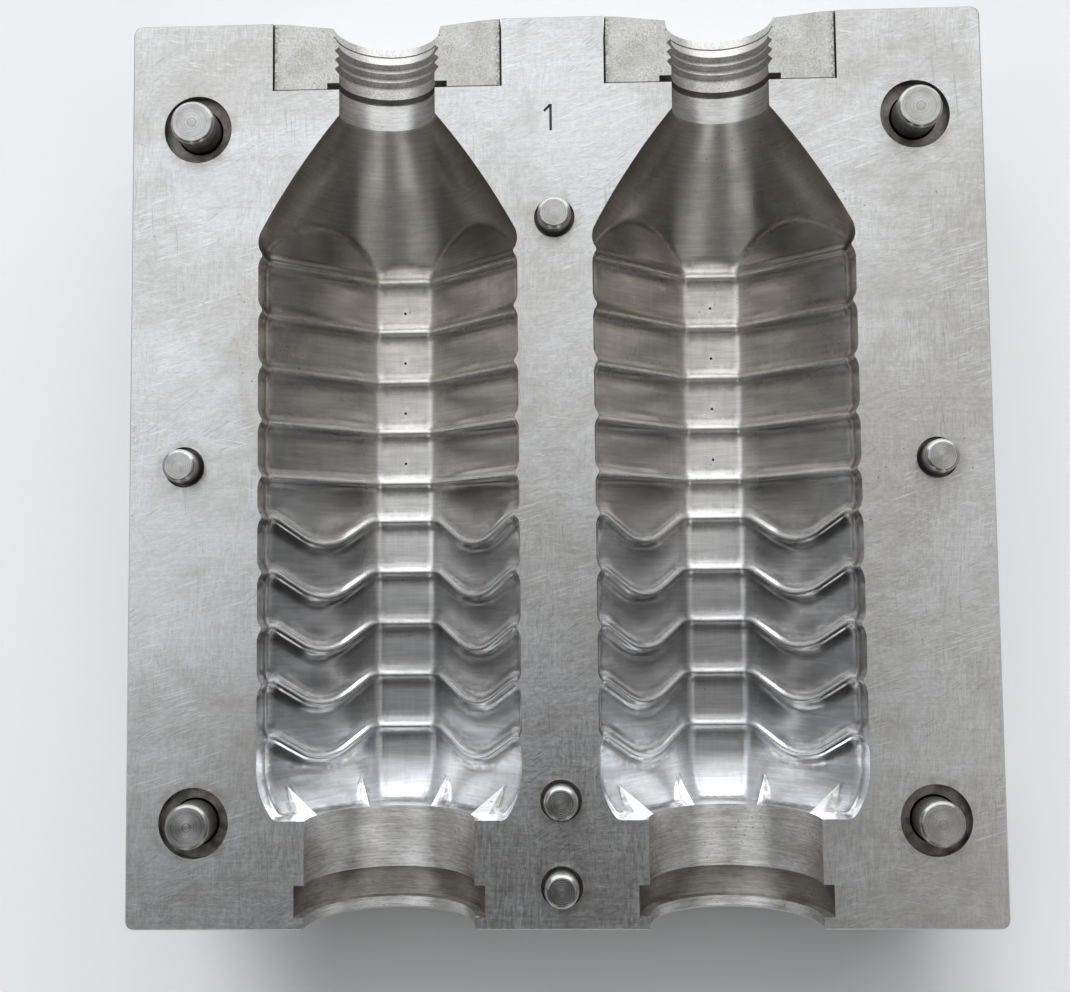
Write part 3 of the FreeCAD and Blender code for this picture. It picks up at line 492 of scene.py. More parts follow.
CROSS_Y = 78.0
PLUG_GAP = 0.02
BACK_HOLES = (84.0, 55.0)
TAPPED = (6.0, 18.0)
THREAD_CHAMFER = 0.8
DRILL_POINT = 0.5
VENT_DROP = 9.4
VENT_RADIUS = 0.4
VENT_SPAN = (-3.5, 1.0)
VENT_RELIEF = (2.5, 20.0)
MARK = {"left": -1.05, "top": 100.0, "height": 7.5, "stroke": 0.7, "flag": 2.4, "depth": 0.4, "reach": 4.0}
CORNER_STEPS = 9


def plain_block():
    """The squared block with rounded upright corners and light chamfers."""
    half_x, half_y = BLOCK[0] / 2, BLOCK[1] / 2
    turns = np.linspace(0, math.pi / 2, CORNER_STEPS)
    levels = ((0, BLOCK_ARRIS), (BLOCK_ARRIS, 0), (BLOCK[2] - BLOCK_ARRIS, 0), (BLOCK[2], BLOCK_ARRIS))
    rings = []
    for height, inset in levels:
        ring = []
        for corner, (sx, sy) in enumerate(((1, 1), (-1, 1), (-1, -1), (1, -1))):
            for turn in turns + math.pi / 2 * corner:
                reach = BLOCK_CORNER - inset
                ring.append(((half_x - BLOCK_CORNER) * sx + reach * math.cos(turn),
                             (half_y - BLOCK_CORNER) * sy + reach * math.sin(turn), height))
        rings.append(ring)
    return closed_grid("block", np.array(rings))


def hole(radius, x, y, low, high, segments):
    """A plain upright hole."""
    return lathe("hole", [(0, low), (radius, low), (radius, high), (0, high)], (x, y, 0), segments=segments)


def back_hole(size, x, y, segments=ROUND["hole"]):
    """A hole of a radius and depth in the back."""
    return hole(size[0], x, y, -OVERRUN, size[1], segments)


def tapped_profile(radius, depth, mouth):
    """A blind hole with a countersunk mouth and a drilled point, going down from the face at mouth."""
    wide, foot = radius + THREAD_CHAMFER, mouth - depth
    return [(0, foot - radius * DRILL_POINT), (radius, foot), (radius, mouth - THREAD_CHAMFER),
            (wide, mouth), (wide, mouth + OVERRUN), (0, mouth + OVERRUN)]


def upward(profile):
    """The same profile for a hole in the back."""
    return [(radius, -along) for radius, along in reversed(profile)]


def recess_forms():
    """Recesses round the pins."""
    forms = []
    for kind, _, x, y in PIN_PLACES:
        radius, depth = RECESSES[kind]
        forms.append(hole(radius, x, y, BLOCK[2] - depth, BLOCK[2] + OVERRUN, ROUND[kind]))
    return forms


def pocket_forms():
    """Pockets for the neck inserts."""
    width, depth = INSERT_ROOM
    end = BLOCK[1] / 2 + OVERRUN
    corners = ((-0.5, INSERT_BASE), (0.5, INSERT_BASE), (0.5, end), (-0.5, end))
    return [sunk("pocket", [(CAVITY_X * side + width * share, y) for share, y in corners], depth)
            for side in BOTH]


def back_hole_forms():
    """Everything that opens in the back."""
    tapped = upward(tapped_profile(*TAPPED, 0.0))
    forms = [back_hole(GUIDE_HEAD_HOLE, x, y) for kind, _, x, y in PIN_PLACES if kind == "guide"]
    forms += [back_hole(VENT_RELIEF, x, y, ROUND["relief"]) for x, y in vent_places()]
    for side in BOTH:
        for way in BOTH:
            forms.append(back_hole(SCREW_HEAD_HOLE, CAVITY_X * side + SCREW_X * way, SCREW_Y))
            place = (BACK_HOLES[0] * side, BACK_HOLES[1] * way, 0)
            forms.append(lathe("tapped_hole", tapped, place))
    return forms


def end_hole_forms():
    """Water ports in the base end and the lifting hole in the neck end."""
    end = BLOCK[1] / 2
    radius, depth = PORT
    wide = radius + THREAD_CHAMFER
    profile = [(0, WATER_DEPTH), (WATER_RADIUS, WATER_DEPTH), (WATER_RADIUS, depth), (radius, depth),
               (radius, THREAD_CHAMFER), (wide, 0), (wide, -OVERRUN), (0, -OVERRUN)]
    forms = [lathe("port", profile, (x * side, -end, WATER_Z), "Y") for x in WATER_X for side in BOTH]
    tapped = tapped_profile(*TAPPED, end)
    return forms + [lathe("lifting_hole", tapped, (0, 0, BLOCK[2] / 2), "Y")]


def plug_seat_forms():
    """Seats for the plugs in both sides."""
    radius = PORT[0] + PLUG_GAP
    forms = []
    for side in BOTH:
        inner, outer = (BLOCK[0] / 2 - PORT[1]) * side, (BLOCK[0] / 2 + OVERRUN) * side
        profile = [(0, inner), (radius, inner), (radius, outer), (0, outer)]
        forms.append(lathe("plug_seat", profile, (0, CROSS_Y, WATER_Z), "X"))
    return forms


def vent_places():
    """Below each straight rib but the last, on the middle flat."""
    return [(CAVITY_X * side, FIRST_RIB - RIB_PITCH * k - VENT_DROP)
            for side in BOTH for k in range(RIB_COUNT - 1)]


def vent_forms():
    """Fine vents through the floor of the cavities."""
    low, high = [BLOCK[2] - BODY_RADIUS + end for end in VENT_SPAN]
    return [hole(VENT_RADIUS, x, y, low, high, ROUND["vent"]) for x, y in vent_places()]


def mark_form():
    """The engraved number 1 as one closed form."""
    left, right = MARK["left"], MARK["left"] + MARK["stroke"]
    top, foot = MARK["top"], MARK["top"] - MARK["height"]
    reach = MARK["flag"] / math.sqrt(2)
    width = MARK["stroke"] / math.sqrt(2)
    outline = [(right, foot), (right, top), (left, top), (left - reach, top - reach),
               (left - reach + width, top - reach - width), (left, top - width * 2), (left, foot)]
    return sunk("mark", outline, MARK["depth"])


def mould_block():
    """The whole block as one closed mesh."""
    block = plain_block()
    groups = [[cavity(side) for side in BOTH], [seat(side) for side in BOTH],
              pocket_forms(), recess_forms(), back_hole_forms(), end_hole_forms(), plug_seat_forms(),
              vent_forms(), [mark_form()]]
    for forms in groups:
        cut(block, joined("tool", forms))
    return block


# The pieces fitted into the block

INSERT = (63.6, 19.2, 28.0)
INSERT_ARRIS = 0.3
RIM_WIDTH = 2.5
RING_RADIUS = 16.8
RING_SLOT = 1.9
THREAD_LAND = 2.45
THREAD_PITCH = 2.65
THREAD_RADIUS = 14.6
THREAD_FLANK = 1.6
THREAD_GROOVES = 3
LIP_RUN = 2.4
LIP_RADIUS = 14.5
LIP_FLARE = 0.5
LIP_GROOVE = 0.4
DISH_DEPTH = 1.7
DISH_RADIUS = 30.0


def thread_profile():
    """Radius and place of the neck form, from the insert's lower end up."""
    crest = RING_SLOT + THREAD_LAND
    points = [(0, -OVERRUN), (RING_RADIUS, -OVERRUN), (RING_RADIUS, RING_SLOT), (NECK_RADIUS, RING_SLOT),
              (NECK_RADIUS, crest)]
    for number in range(THREAD_GROOVES):
        foot = crest + THREAD_PITCH * number
        points += [(THREAD_RADIUS, foot + THREAD_FLANK), (NECK_RADIUS, foot + THREAD_PITCH)]
    mouth = crest + THREAD_PITCH * THREAD_GROOVES + LIP_RUN
    groove = LIP_RADIUS + LIP_GROOVE
    points += [(LIP_RADIUS, mouth), (groove, mouth), (groove, mouth + LIP_GROOVE),
               (LIP_RADIUS, mouth + LIP_GROOVE), (LIP_RADIUS + LIP_FLARE, INSERT[1] - DISH_DEPTH),
               (DISH_RADIUS, INSERT[1]), (DISH_RADIUS, INSERT[1] + OVERRUN), (0, INSERT[1] + OVERRUN)]
    return points


def neck_insert(name, side):
    """A block with the neck form turned into its face, about its own origin."""
    half, depth = INSERT[0] / 2, INSERT[2]
    rings = []
    for height, inset in ((-depth, 0), (-INSERT_ARRIS, 0), (0, INSERT_ARRIS)):
        rings.append([(x * (half - inset), y + (inset if y == 0 else -inset), height)
                      for x, y in ((-1, 0), (1, 0), (1, INSERT[1]), (-1, INSERT[1]))])
    insert = closed_grid(name, np.array(rings))
    cut(insert, lathe("neck", thread_profile(), (0, 0, 0), "Y", ROUND["neck"]))
    insert.location = Vector((CAVITY_X * side, INSERT_BASE, BLOCK[2])) * MM
    return insert


# Each kind of pin: radius and top of its steps from the foot up, height of the foot, and chamfer
PINS = {"guide": (((8.5, 5.5), (6.5, 57.5), (6.0, 66.0)), 0.5, 0.6),
        "locating": (((4.6, 65.2),), 40.0, 0.8)}
TIP_LOOP = 0.12
TIP_SOFT = 0.22
TIP_CORNER = (0.4, 0.3)


def turned_tip(radius, top, chamfer):
    """The end of a pin: a chamfer with softened corners.

    A loop close to the edge keeps the end itself flat when it is shaded smooth.
    """
    soft = chamfer * TIP_SOFT
    rim, shoulder = radius - chamfer - soft, top - chamfer - soft
    out, up = [soft * share for share in TIP_CORNER]
    return [(radius, shoulder - TIP_LOOP), (radius, shoulder), (radius - out, top - chamfer + up),
            (radius - chamfer + up, top - out), (rim, top), (rim - TIP_LOOP, top), (0, top)]


def standing_pin(name, kind, x, y):
    """A stepped pin with a chamfered foot, about its own axis."""
    steps, foot, chamfer = PINS[kind]
    radius = steps[0][0]
    profile = [(0, foot), (radius - chamfer, foot), (radius, foot + chamfer)]
    for (radius, top), (after, _) in zip(steps, steps[1:]):
        profile += [(radius, top), (after, top)]
    pin = lathe(name, profile + turned_tip(*steps[-1], chamfer), (0, 0, 0), segments=ROUND["pin"])
    pin.location = Vector((x, y, 0)) * MM
    return pin


# Materials
# Scales are features a metre, turns are in degrees and colours are linear.

METAL_LIGHTNESS = 1.17
DULL_GROUND, CLEAN_GROUND = (0.485, 0.48, 0.465), (0.60, 0.605, 0.615)
DULL_SIDE, CLEAN_SIDE = (0.42, 0.41, 0.395), (0.52, 0.515, 0.51)
BROWN_WALL, GREY_WALL = (0.475, 0.455, 0.425), (0.53, 0.53, 0.535)
DULL_INSERT, CLEAN_INSERT = (0.44, 0.43, 0.405), (0.53, 0.525, 0.505)
DULL_PIN, CLEAN_PIN = (0.38, 0.375, 0.36), (0.47, 0.47, 0.465)
BASE_WALL, INSERT_THREAD, PIN_FOOT = (0.80, 0.81, 0.83), (0.52, 0.505, 0.49), (0.17, 0.15, 0.13)
STAIN, PIN_DIRT = (0.37, 0.355, 0.32), (0.24, 0.21, 0.18)
BRIGHT_SCRATCH, DARK_SCRATCH = (0.78, 0.79, 0.80), (0.28, 0.27, 0.26)
# Painted highlight for the rib crests and painted shade for the coves of the cavity
PAINTED_CREST_HIGHLIGHT, PAINTED_COVE_SHADE = (0.72, 0.715, 0.70), (0.19, 0.17, 0.15)
GROUND_PIT, SIDE_PIT, WALL_PIT = (0.12, 0.10, 0.085), (0.12, 0.09, 0.07), (0.10, 0.085, 0.07)
BORE_PIT, INSERT_GRIME = (0.09, 0.075, 0.06), (0.13, 0.11, 0.09)
OXIDE, WORN_OXIDE = (0.05, 0.048, 0.046), (0.12, 0.10, 0.085)
TARNISH, BRASS = (0.42, 0.29, 0.13), (0.72, 0.54, 0.26)

# Light and dark colour of each bore or rough hole, its roughness, and how strong a bore's specks are
BORES = {"neck": ("neck_bore", (0.67, 0.665, 0.655), (0.56, 0.55, 0.535), (0.42, 0.55), 0.5),
         "seat": ("seat_bore", (0.68, 0.67, 0.66), (0.54, 0.525, 0.505), (0.42, 0.55), 0.5),
         "groove": ("seat_groove", (0.44, 0.415, 0.39), (0.30, 0.28, 0.255), (0.5, 0.62), 0.6)}
ROUGH_HOLES = {"pocket": ("insert_pocket", (0.34, 0.32, 0.30), (0.22, 0.20, 0.18), 0.6),
               # Painted shade: the pin recesses get darker colours than the other rough steel, to stand in
               # for the shade inside them
               "recess": ("pin_recess", (0.27, 0.255, 0.24), (0.12, 0.11, 0.10), 0.5),
               "mark": ("engraving", (0.12, 0.11, 0.10), (0.06, 0.055, 0.05), 0.65),
               "hole": ("hole_wall", (0.30, 0.28, 0.26), (0.16, 0.15, 0.14), 0.6)}

# How far past a flat's edge its rougher finish and its painted sheen and shade fade out, and how far the
# dirt round a recess and the darkening of a pin's foot reach
FLAT_FADE = (5.5, 0.5)
DARKENING_REACH = 3.5

# Along Y in metres: where the cavity turns grey, where the base turns bright with a painted reflection, and
# where the flats go from a painted sheen above to painted shade below
GREY_RUN = (0.065, -0.050)
BRIGHT_RUN = (-0.062, -0.088)
FLAT_SHEEN_RUN = (-0.045, -0.015)
FLAT_SHEEN = (-0.26, 0.20)

# Pointiness of the cavity mesh on crests, where a highlight is painted, and in coves, where shade is
# painted, and the strip beside a flat's edge where the painted shade is weaker
CREST_BEND = (0.502, 0.514)
COVE_BEND = (0.497, 0.485)
WEAK_SHADE_STRIP = (1.0, 2.5)

# Ends of a noise between which a look changes, from a soft change to a sharp one
SOFTEST, SOFT, FIRM, SHARP = (0.35, 0.65), (0.36, 0.64), (0.38, 0.62), (0.40, 0.60)

# Heights at which the thread's colour begins, in millimetres, and rings a metre on a pin's end and side
THREAD_FADE = (-0.3, -1.2)
PIN_RINGS = (5200.0, 4200.0)


class Graph:
    """A node tree, with short ways to add what the looks need."""

    def __init__(self, owner):
        self.owner = owner
        owner.use_nodes = True
        self.tree = owner.node_tree

    def own(self, kind):
        """The node of a kind that the tree comes with."""
        return next(node for node in self.tree.nodes if node.type == kind)

    def add(self, kind, links=None, **settings):
        """A new node with its settings and inputs."""
        node = self.tree.nodes.new("ShaderNode" + kind)
        for key, value in settings.items():
            setattr(node, key, value)
        self.feed(node, links or {})
        return node

    def feed(self, node, links):
        """Set a node's inputs to values, or link them to outputs."""
        for key, value in links.items():
            socket = node.inputs[key]
            if isinstance(value, bpy.types.NodeSocket):
                self.tree.links.new(value, socket)
            else:
                socket.default_value = (*value, 1.0) if socket.type == "RGBA" else value

    def axes(self, vector):
        return self.add("SeparateXYZ", {0: vector}).outputs

    def number(self, operation, first, second=0.0):
        return self.add("Math", {0: first, 1: second}, operation=operation).outputs[0]

    plus = functools.partialmethod(number, "ADD")
    times = functools.partialmethod(number, "MULTIPLY")
    most = functools.partialmethod(number, "MAXIMUM")

    def apart(self, first, second):
        """How far two numbers are apart."""
        return self.number("ABSOLUTE", self.number("SUBTRACT", first, second))

    def vector(self, operation, first, second=(0.0, 0.0, 0.0)):
        return self.add("VectorMath", {0: first, 1: second}, operation=operation).outputs[0]

    def length(self, vector):
        return self.add("VectorMath", {0: vector}, operation="LENGTH").outputs["Value"]

    def weighted(self, *parts):
        """The sum of values, each times its weight."""
        shares = [self.times(value, weight) for value, weight in parts]
        return functools.reduce(self.plus, shares)

    def mapped(self, value, low, high, to_low=0.0, to_high=1.0, kind="SMOOTHSTEP"):
        """A value taken from one range to another and held inside it."""
        node = self.add("MapRange", {0: value, 1: low, 2: high, 3: to_low, 4: to_high},
                        interpolation_type=kind, clamp=True)
        return node.outputs[0]

    def mix(self, share, first, second):
        return self.add("Mix", {0: share, 6: first, 7: second}, data_type="RGBA").outputs[2]


class Steel(Graph):
    """A node material for bare metal; every pattern is worked out from the place on the piece."""

    def __init__(self, name):
        super().__init__(bpy.data.materials.new(name))
        self.shader = self.own("BSDF_PRINCIPLED")
        self.feed(self.shader, {"Metallic": 1.0})
        self.place = self.add("TexCoord").outputs["Object"]

    def stretched(self, scale, turn=0):
        """The place with each axis scaled, after a turn about Z."""
        if not isinstance(scale, tuple):
            scale = (scale,) * 3
        turned = self.add("VectorRotate", {"Vector": self.place, "Angle": math.radians(turn)},
                          rotation_type="Z_AXIS")
        return self.vector("MULTIPLY", turned.outputs[0], scale)

    def noise(self, scale, turn=0, detail=3, warp=0.0, rough=0.55):
        node = self.add("TexNoise", {"Vector": self.stretched(scale, turn), "Scale": 1.0, "Detail": detail,
                                     "Distortion": warp, "Roughness": rough})
        return node.outputs["Fac"]

    def spots(self, scale, size, cluster_scale, share, core=0.4, fade=0.06):
        """Small scattered spots, only where a broad noise is high."""
        cells = self.add("TexVoronoi", {"Vector": self.stretched(scale), "Scale": 1.0})
        near = self.mapped(cells.outputs["Distance"], size * core, size, 1.0, 0.0)
        where = self.mapped(self.noise(cluster_scale, detail=2), share, share + fade)
        return self.times(near, where)

    def scratches(self, across, along, turn, share, fade=0.05, bunches=0.4):
        """Scattered thin scratches, with so many features a metre across them and along them."""
        line = self.mapped(self.noise((along, across, 1), turn, detail=1, warp=1.2), share, share + fade)
        bunch = self.mapped(self.noise(along * bunches, turn, detail=1), 0.5, 0.62)
        return self.times(line, bunch)

    def brushed(self, amount):
        """Fine marks that run across the piece, so that reflections spread along Y."""
        way = self.add("CombineXYZ", {1: 1.0})
        self.feed(self.shader, {"Anisotropic": amount, "Tangent": way.outputs[0]})

    def paint(self, share, first, second):
        """Make the colour a mix of two."""
        self.colour = self.mix(share, first, second)

    def lighten(self, factor):
        self.colour = self.add("VectorMath", {0: self.colour, 3: factor}, operation="SCALE").outputs[0]

    def shade(self, value, low, high, dark, light):
        """Make the colour darker where the value is low and lighter where it is high."""
        self.lighten(self.mapped(value, low, high, dark, light))

    def lay_tint(self, mask, amount, tint):
        """Lay a tint over the colour where the mask is high."""
        self.paint(self.times(mask, amount), self.colour, tint)

    def finish(self, roughness, height, depth):
        """The material, with a bump of a depth in micrometres."""
        self.lighten(METAL_LIGHTNESS)
        bump = self.add("Bump", {"Height": height, "Distance": depth * MICRON, "Strength": 1.0})
        self.feed(self.shader, {"Base Color": self.colour, "Roughness": roughness,
                                "Normal": bump.outputs[0]})
        return self.owner


def near_pins(steel):
    """One at the rim of each recess, falling to nothing a little way out."""
    near = 0.0
    for kind, _, x, y in PIN_PLACES:
        radius = RECESSES[kind][0]
        away = steel.length(steel.vector("SUBTRACT", steel.place, (x * MM, y * MM, BLOCK[2] * MM)))
        close = steel.mapped(away, radius * MM, (radius + DARKENING_REACH) * MM, 1.0, 0.0)
        near = steel.most(near, close)
    return near


def ground_face():
    """The ground parting face: crossed fine marks, warm stains, small pits and dirt round the pins."""
    steel = Steel("ground_face")
    mottle = steel.noise((800, 900, 1), 20, warp=0.3, rough=0.75)
    curved = steel.noise((110, 1500, 1), -17, detail=2, warp=2.2)
    upright = steel.noise((1500, 130, 1), 4, detail=2, warp=1.6)
    patch = steel.mapped(steel.noise((26, 26, 1), 40, detail=1, warp=0.8), 0.42, 0.58)
    across = steel.noise((60, 1700, 1), 1, warp=0.8, rough=0.7)
    grain = steel.weighted((mottle, 0.34), (steel.mix(patch, curved, upright), 0.40), (across, 0.26))
    broad = steel.noise((15, 19, 15), 20, detail=4, warp=0.4, rough=0.62)
    fine = steel.noise((170, 230, 170), -12, detail=2, warp=0.4, rough=0.7)
    clouds = steel.mapped(steel.weighted((broad, 0.75), (fine, 0.25)), 0.37, 0.62)
    steel.paint(clouds, DULL_GROUND, CLEAN_GROUND)
    steel.shade(grain, *FIRM, 0.86, 1.12)
    stains = steel.mapped(steel.noise((30, 24, 30), 60, detail=4, warp=0.6, rough=0.68), 0.52, 0.66)
    steel.lay_tint(stains, 0.34, STAIN)
    bright = steel.most(steel.scratches(2300, 90, -17, 0.60), steel.scratches(2600, 150, 12, 0.64))
    steel.lay_tint(bright, 0.55, BRIGHT_SCRATCH)
    dark = steel.most(steel.scratches(2600, 120, -35, 0.63), steel.scratches(2400, 80, 86, 0.65))
    steel.lay_tint(dark, 0.45, DARK_SCRATCH)
    steel.lay_tint(steel.spots(430, 0.13, 60, 0.6), 0.8, GROUND_PIT)
    dirt = steel.times(near_pins(steel), steel.mapped(steel.noise(240, detail=4), 0.40, 0.66))
    steel.lay_tint(dirt, 0.45, PIN_DIRT)
    steel.brushed(0.5)
    roughness = steel.mapped(grain, *SOFTEST, 0.30, 0.38)
    return steel.finish(roughness, steel.plus(mottle, across), 6)


def machined_side():
    """Milled and ground outer sides and back."""
    steel = Steel("machined_side")
    along = steel.noise((30, 30, 1900), detail=4, warp=0.4)
    arcs = steel.noise((900, 60, 30), 8, warp=0.8)
    grain = steel.weighted((along, 0.6), (arcs, 0.4))
    broad = steel.mapped(steel.noise(14, detail=5), *FIRM)
    steel.paint(broad, DULL_SIDE, CLEAN_SIDE)
    steel.shade(grain, *SHARP, 0.92, 1.05)
    steel.lay_tint(steel.spots(150, 0.16, 30, 0.55), 0.7, SIDE_PIT)
    return steel.finish(steel.mapped(grain, *SOFTEST, 0.38, 0.52), grain, 14)


def cavity_wall():
    """Hand-polished cavity: browner at the shoulder, smoother towards the base and brighter there with a
    painted reflection, with painted sheen and shade on the flats, painted highlights on the rib crests and
    painted shade in the coves.
    """
    steel = Steel("cavity_wall")
    x, y = steel.axes(steel.place)[:2]
    half_flat = FLAT_WIDTH / 2
    middle = steel.apart(steel.number("ABSOLUTE", x), CAVITY_X * MM)
    on_flat = steel.mapped(middle, *[(half_flat + past) * MM for past in FLAT_FADE])
    low = steel.mapped(y, *GREY_RUN)
    # Towards the base the colour turns near white, a painted reflection on top of the smoother polish there
    steel.paint(steel.mapped(y, *BRIGHT_RUN), steel.mix(low, BROWN_WALL, GREY_WALL), BASE_WALL)
    clouds = steel.mapped(steel.noise((40, 60, 40), warp=0.2, rough=0.6), *SOFTEST)
    steel.shade(clouds, 0.0, 1.0, 0.88, 1.06)
    around = steel.noise((90, 1500, 90), detail=2, warp=0.3)
    upright = steel.noise((1100, 70, 1100), detail=2, warp=0.4)
    grain = steel.weighted((around, 0.7), (upright, 0.3))
    steel.shade(grain, *SHARP, 0.92, 1.06)
    # Painted sheen on the upper flats and painted shade on the lower ones: the flats' colour is made
    # lighter and darker along Y
    flat_sheen = steel.times(on_flat, steel.mapped(y, *FLAT_SHEEN_RUN, *FLAT_SHEEN))
    steel.lighten(steel.plus(1.0, flat_sheen))
    # Painted highlight on the rib crests and painted shade in the coves, where the mesh is most and least
    # pointed, broken up by a noise
    bend = steel.add("NewGeometry").outputs["Pointiness"]
    wear_and_painted_light = steel.mapped(steel.noise(500, detail=4), 0.36, 0.56, 0.35, 1.0)
    crest = steel.times(steel.mapped(bend, *CREST_BEND), wear_and_painted_light)
    steel.lay_tint(crest, 0.5, PAINTED_CREST_HIGHLIGHT)
    from_edge = steel.apart(middle, half_flat * MM)
    beside = steel.mapped(from_edge, *[away * MM for away in WEAK_SHADE_STRIP], 0.2, 1.0)
    cove = steel.times(steel.mapped(bend, *COVE_BEND), beside)
    steel.lay_tint(steel.times(cove, wear_and_painted_light), 0.55, PAINTED_COVE_SHADE)
    steel.lay_tint(steel.spots(560, 0.17, 70, 0.58), 0.75, WALL_PIT)
    steel.brushed(0.35)
    polish = steel.plus(steel.mapped(low, 0, 1, 0.26, 0.20), steel.mapped(clouds, 0, 1, 0.04, -0.02))
    polish = steel.plus(polish, steel.times(on_flat, 0.14))
    ripple = steel.noise((130, 170, 130), detail=2, warp=0.2)
    height = steel.plus(steel.times(around, 0.2), ripple)
    return steel.finish(polish, height, 30)


def bored(name, light, dark, rough, speck):
    """A turned bore about the Y axis: fine rings that run round it, with sparkle and a few specks."""
    steel = Steel(name)
    rings = steel.noise((60, 2400, 60), warp=0.3)
    dashes = steel.noise((420, 2600, 420), warp=0.5, rough=0.7)
    grain = steel.weighted((rings, 0.45), (dashes, 0.55))
    broad = steel.mapped(steel.noise((70, 110, 70), detail=4), *FIRM)
    steel.paint(broad, dark, light)
    steel.shade(grain, *FIRM, 0.76, 1.14)
    steel.lay_tint(steel.spots(700, 0.24, 90, 0.54), speck, BORE_PIT)
    steel.brushed(0.8)
    return steel.finish(steel.mapped(grain, *SOFTEST, *rough), grain, 35)


def dull(name, light, dark, rough):
    """Rough machined steel that is hardly ever touched, such as recesses and hole walls."""
    steel = Steel(name)
    broad = steel.mapped(steel.noise(260, detail=5), *SOFT)
    rings = steel.noise((200, 200, 3000))
    steel.paint(broad, dark, light)
    roughness = steel.mapped(broad, 0, 1, rough, rough + 0.12)
    return steel.finish(roughness, steel.plus(broad, rings), 30)


def insert_steel():
    """The neck inserts: a warm, finely eroded face with dirt along its edges."""
    steel = Steel("insert_steel")
    x, _, z = steel.axes(steel.place)
    fine = steel.noise(1500, detail=4, rough=0.7)
    broad = steel.mapped(steel.noise(110, detail=5, rough=0.65), *SOFT)
    inside = steel.mapped(z, *[depth * MM for depth in THREAD_FADE])
    steel.paint(inside, steel.mix(broad, DULL_INSERT, CLEAN_INSERT), INSERT_THREAD)
    steel.shade(fine, 0.34, 0.66, 0.80, 1.14)
    edge = INSERT[0] / 2
    rim = steel.mapped(steel.number("ABSOLUTE", x), (edge - RIM_WIDTH) * MM, edge * MM)
    grime = steel.times(rim, steel.mapped(steel.noise(1300), 0.44, 0.58))
    marks = steel.most(steel.times(steel.spots(1700, 0.42, 130, 0.5), 0.45), steel.times(grime, 0.75))
    steel.paint(marks, steel.colour, INSERT_GRIME)
    grain = steel.weighted((fine, 0.7), (steel.noise((60, 2500, 60)), 0.3))
    steel.brushed(0.4)
    return steel.finish(steel.mapped(grain, *SOFTEST, 0.38, 0.52), grain, 20)


def turned_pin():
    """Pins turned on a lathe: rings on the end and round the side, with a darker foot."""
    steel = Steel("turned_pin")
    x, y, z = steel.axes(steel.place)
    reach = steel.length(steel.add("CombineXYZ", {0: x, 1: y}).outputs[0])
    line = steel.add("CombineXYZ", {0: steel.times(reach, PIN_RINGS[0]), 1: steel.times(z, PIN_RINGS[1])})
    rings = steel.add("TexNoise", {"Vector": line.outputs[0], "Scale": 1.0, "Detail": 3.0})
    rings = rings.outputs["Fac"]
    broad = steel.mapped(steel.noise(260, detail=4), *SOFT)
    steel.paint(broad, DULL_PIN, CLEAN_PIN)
    steel.shade(rings, *FIRM, 0.70, 1.18)
    # The side is made darker towards its foot, down into the recess
    foot = steel.mapped(z, BLOCK[2] * MM, (BLOCK[2] + DARKENING_REACH) * MM, 1.0, 0.0)
    steel.lay_tint(foot, 0.7, PIN_FOOT)
    tangent = steel.add("Tangent", direction_type="RADIAL", axis="Z")
    steel.feed(steel.shader, {"Anisotropic": 0.65, "Anisotropic Rotation": 0.25,
                              "Tangent": tangent.outputs[0]})
    return steel.finish(steel.mapped(rings, *SOFTEST, 0.26, 0.38), rings, 12)


def patchy(name, wear_and_painted_light, clean, scale, span, rough, depth, detail):
    """A thin coat or tarnish in patches, on the screws and plugs."""
    steel = Steel(name)
    broad = steel.mapped(steel.noise(scale, detail=detail), *span)
    steel.paint(broad, wear_and_painted_light, clean)
    return steel.finish(steel.mapped(broad, 0.0, 1.0, *rough), broad, depth)


# Which material each face of the block gets

HAIR = 0.05
CLOSE = 0.5
FACING_UP = 0.9


def block_finish(centre, normal):
    """Name of the finish at a place on the block, in millimetres."""
    x, y, z = centre
    half_x, half_y, top = BLOCK[0] / 2, BLOCK[1] / 2, BLOCK[2]
    if z > top - HAIR and normal[2] > FACING_UP:
        return "face"
    if abs(x) > half_x - CLOSE or abs(y) > half_y - CLOSE or z < CLOSE:
        return "side"
    mark_foot = MARK["top"] - MARK["height"]
    if z > top - MARK["depth"] - HAIR and abs(x) < MARK["reach"] and y > mark_foot - HAIR:
        return "mark"
    radius, depth = RECESSES["guide"]
    for _, _, pin_x, pin_y in PIN_PLACES:
        if math.hypot(x - pin_x, y - pin_y) < radius + HAIR and z > top - depth - HAIR:
            return "recess"
    across = abs(abs(x) - CAVITY_X)
    if across > BODY_RADIUS + CLOSE or z < top - BODY_RADIUS - CLOSE:
        return "hole"
    if y > INSERT_BASE - HAIR:
        return "pocket"
    if y > SHOULDER_TOP:
        return "neck"
    if y > BASE_PLANE - HAIR:
        return "cavity"
    reach = math.hypot(across, top - z)
    return "groove" if reach > SEAT_RADIUS + CLOSE and y > SEAT_LIP - half_y - HAIR else "seat"


def dress_block(block):
    finishes = {"face": ground_face(), "side": machined_side(), "cavity": cavity_wall()}
    finishes.update({name: bored(*look) for name, look in BORES.items()})
    finishes.update({name: dull(*look) for name, look in ROUGH_HOLES.items()})
    names = list(finishes)
    block.data.materials.clear()
    for finish in finishes.values():
        block.data.materials.append(finish)
    for face in block.data.polygons:
        face.material_index = names.index(block_finish(face.center / MM, face.normal))


def wear(thing, material):
    thing.data.materials.clear()
    thing.data.materials.append(material)


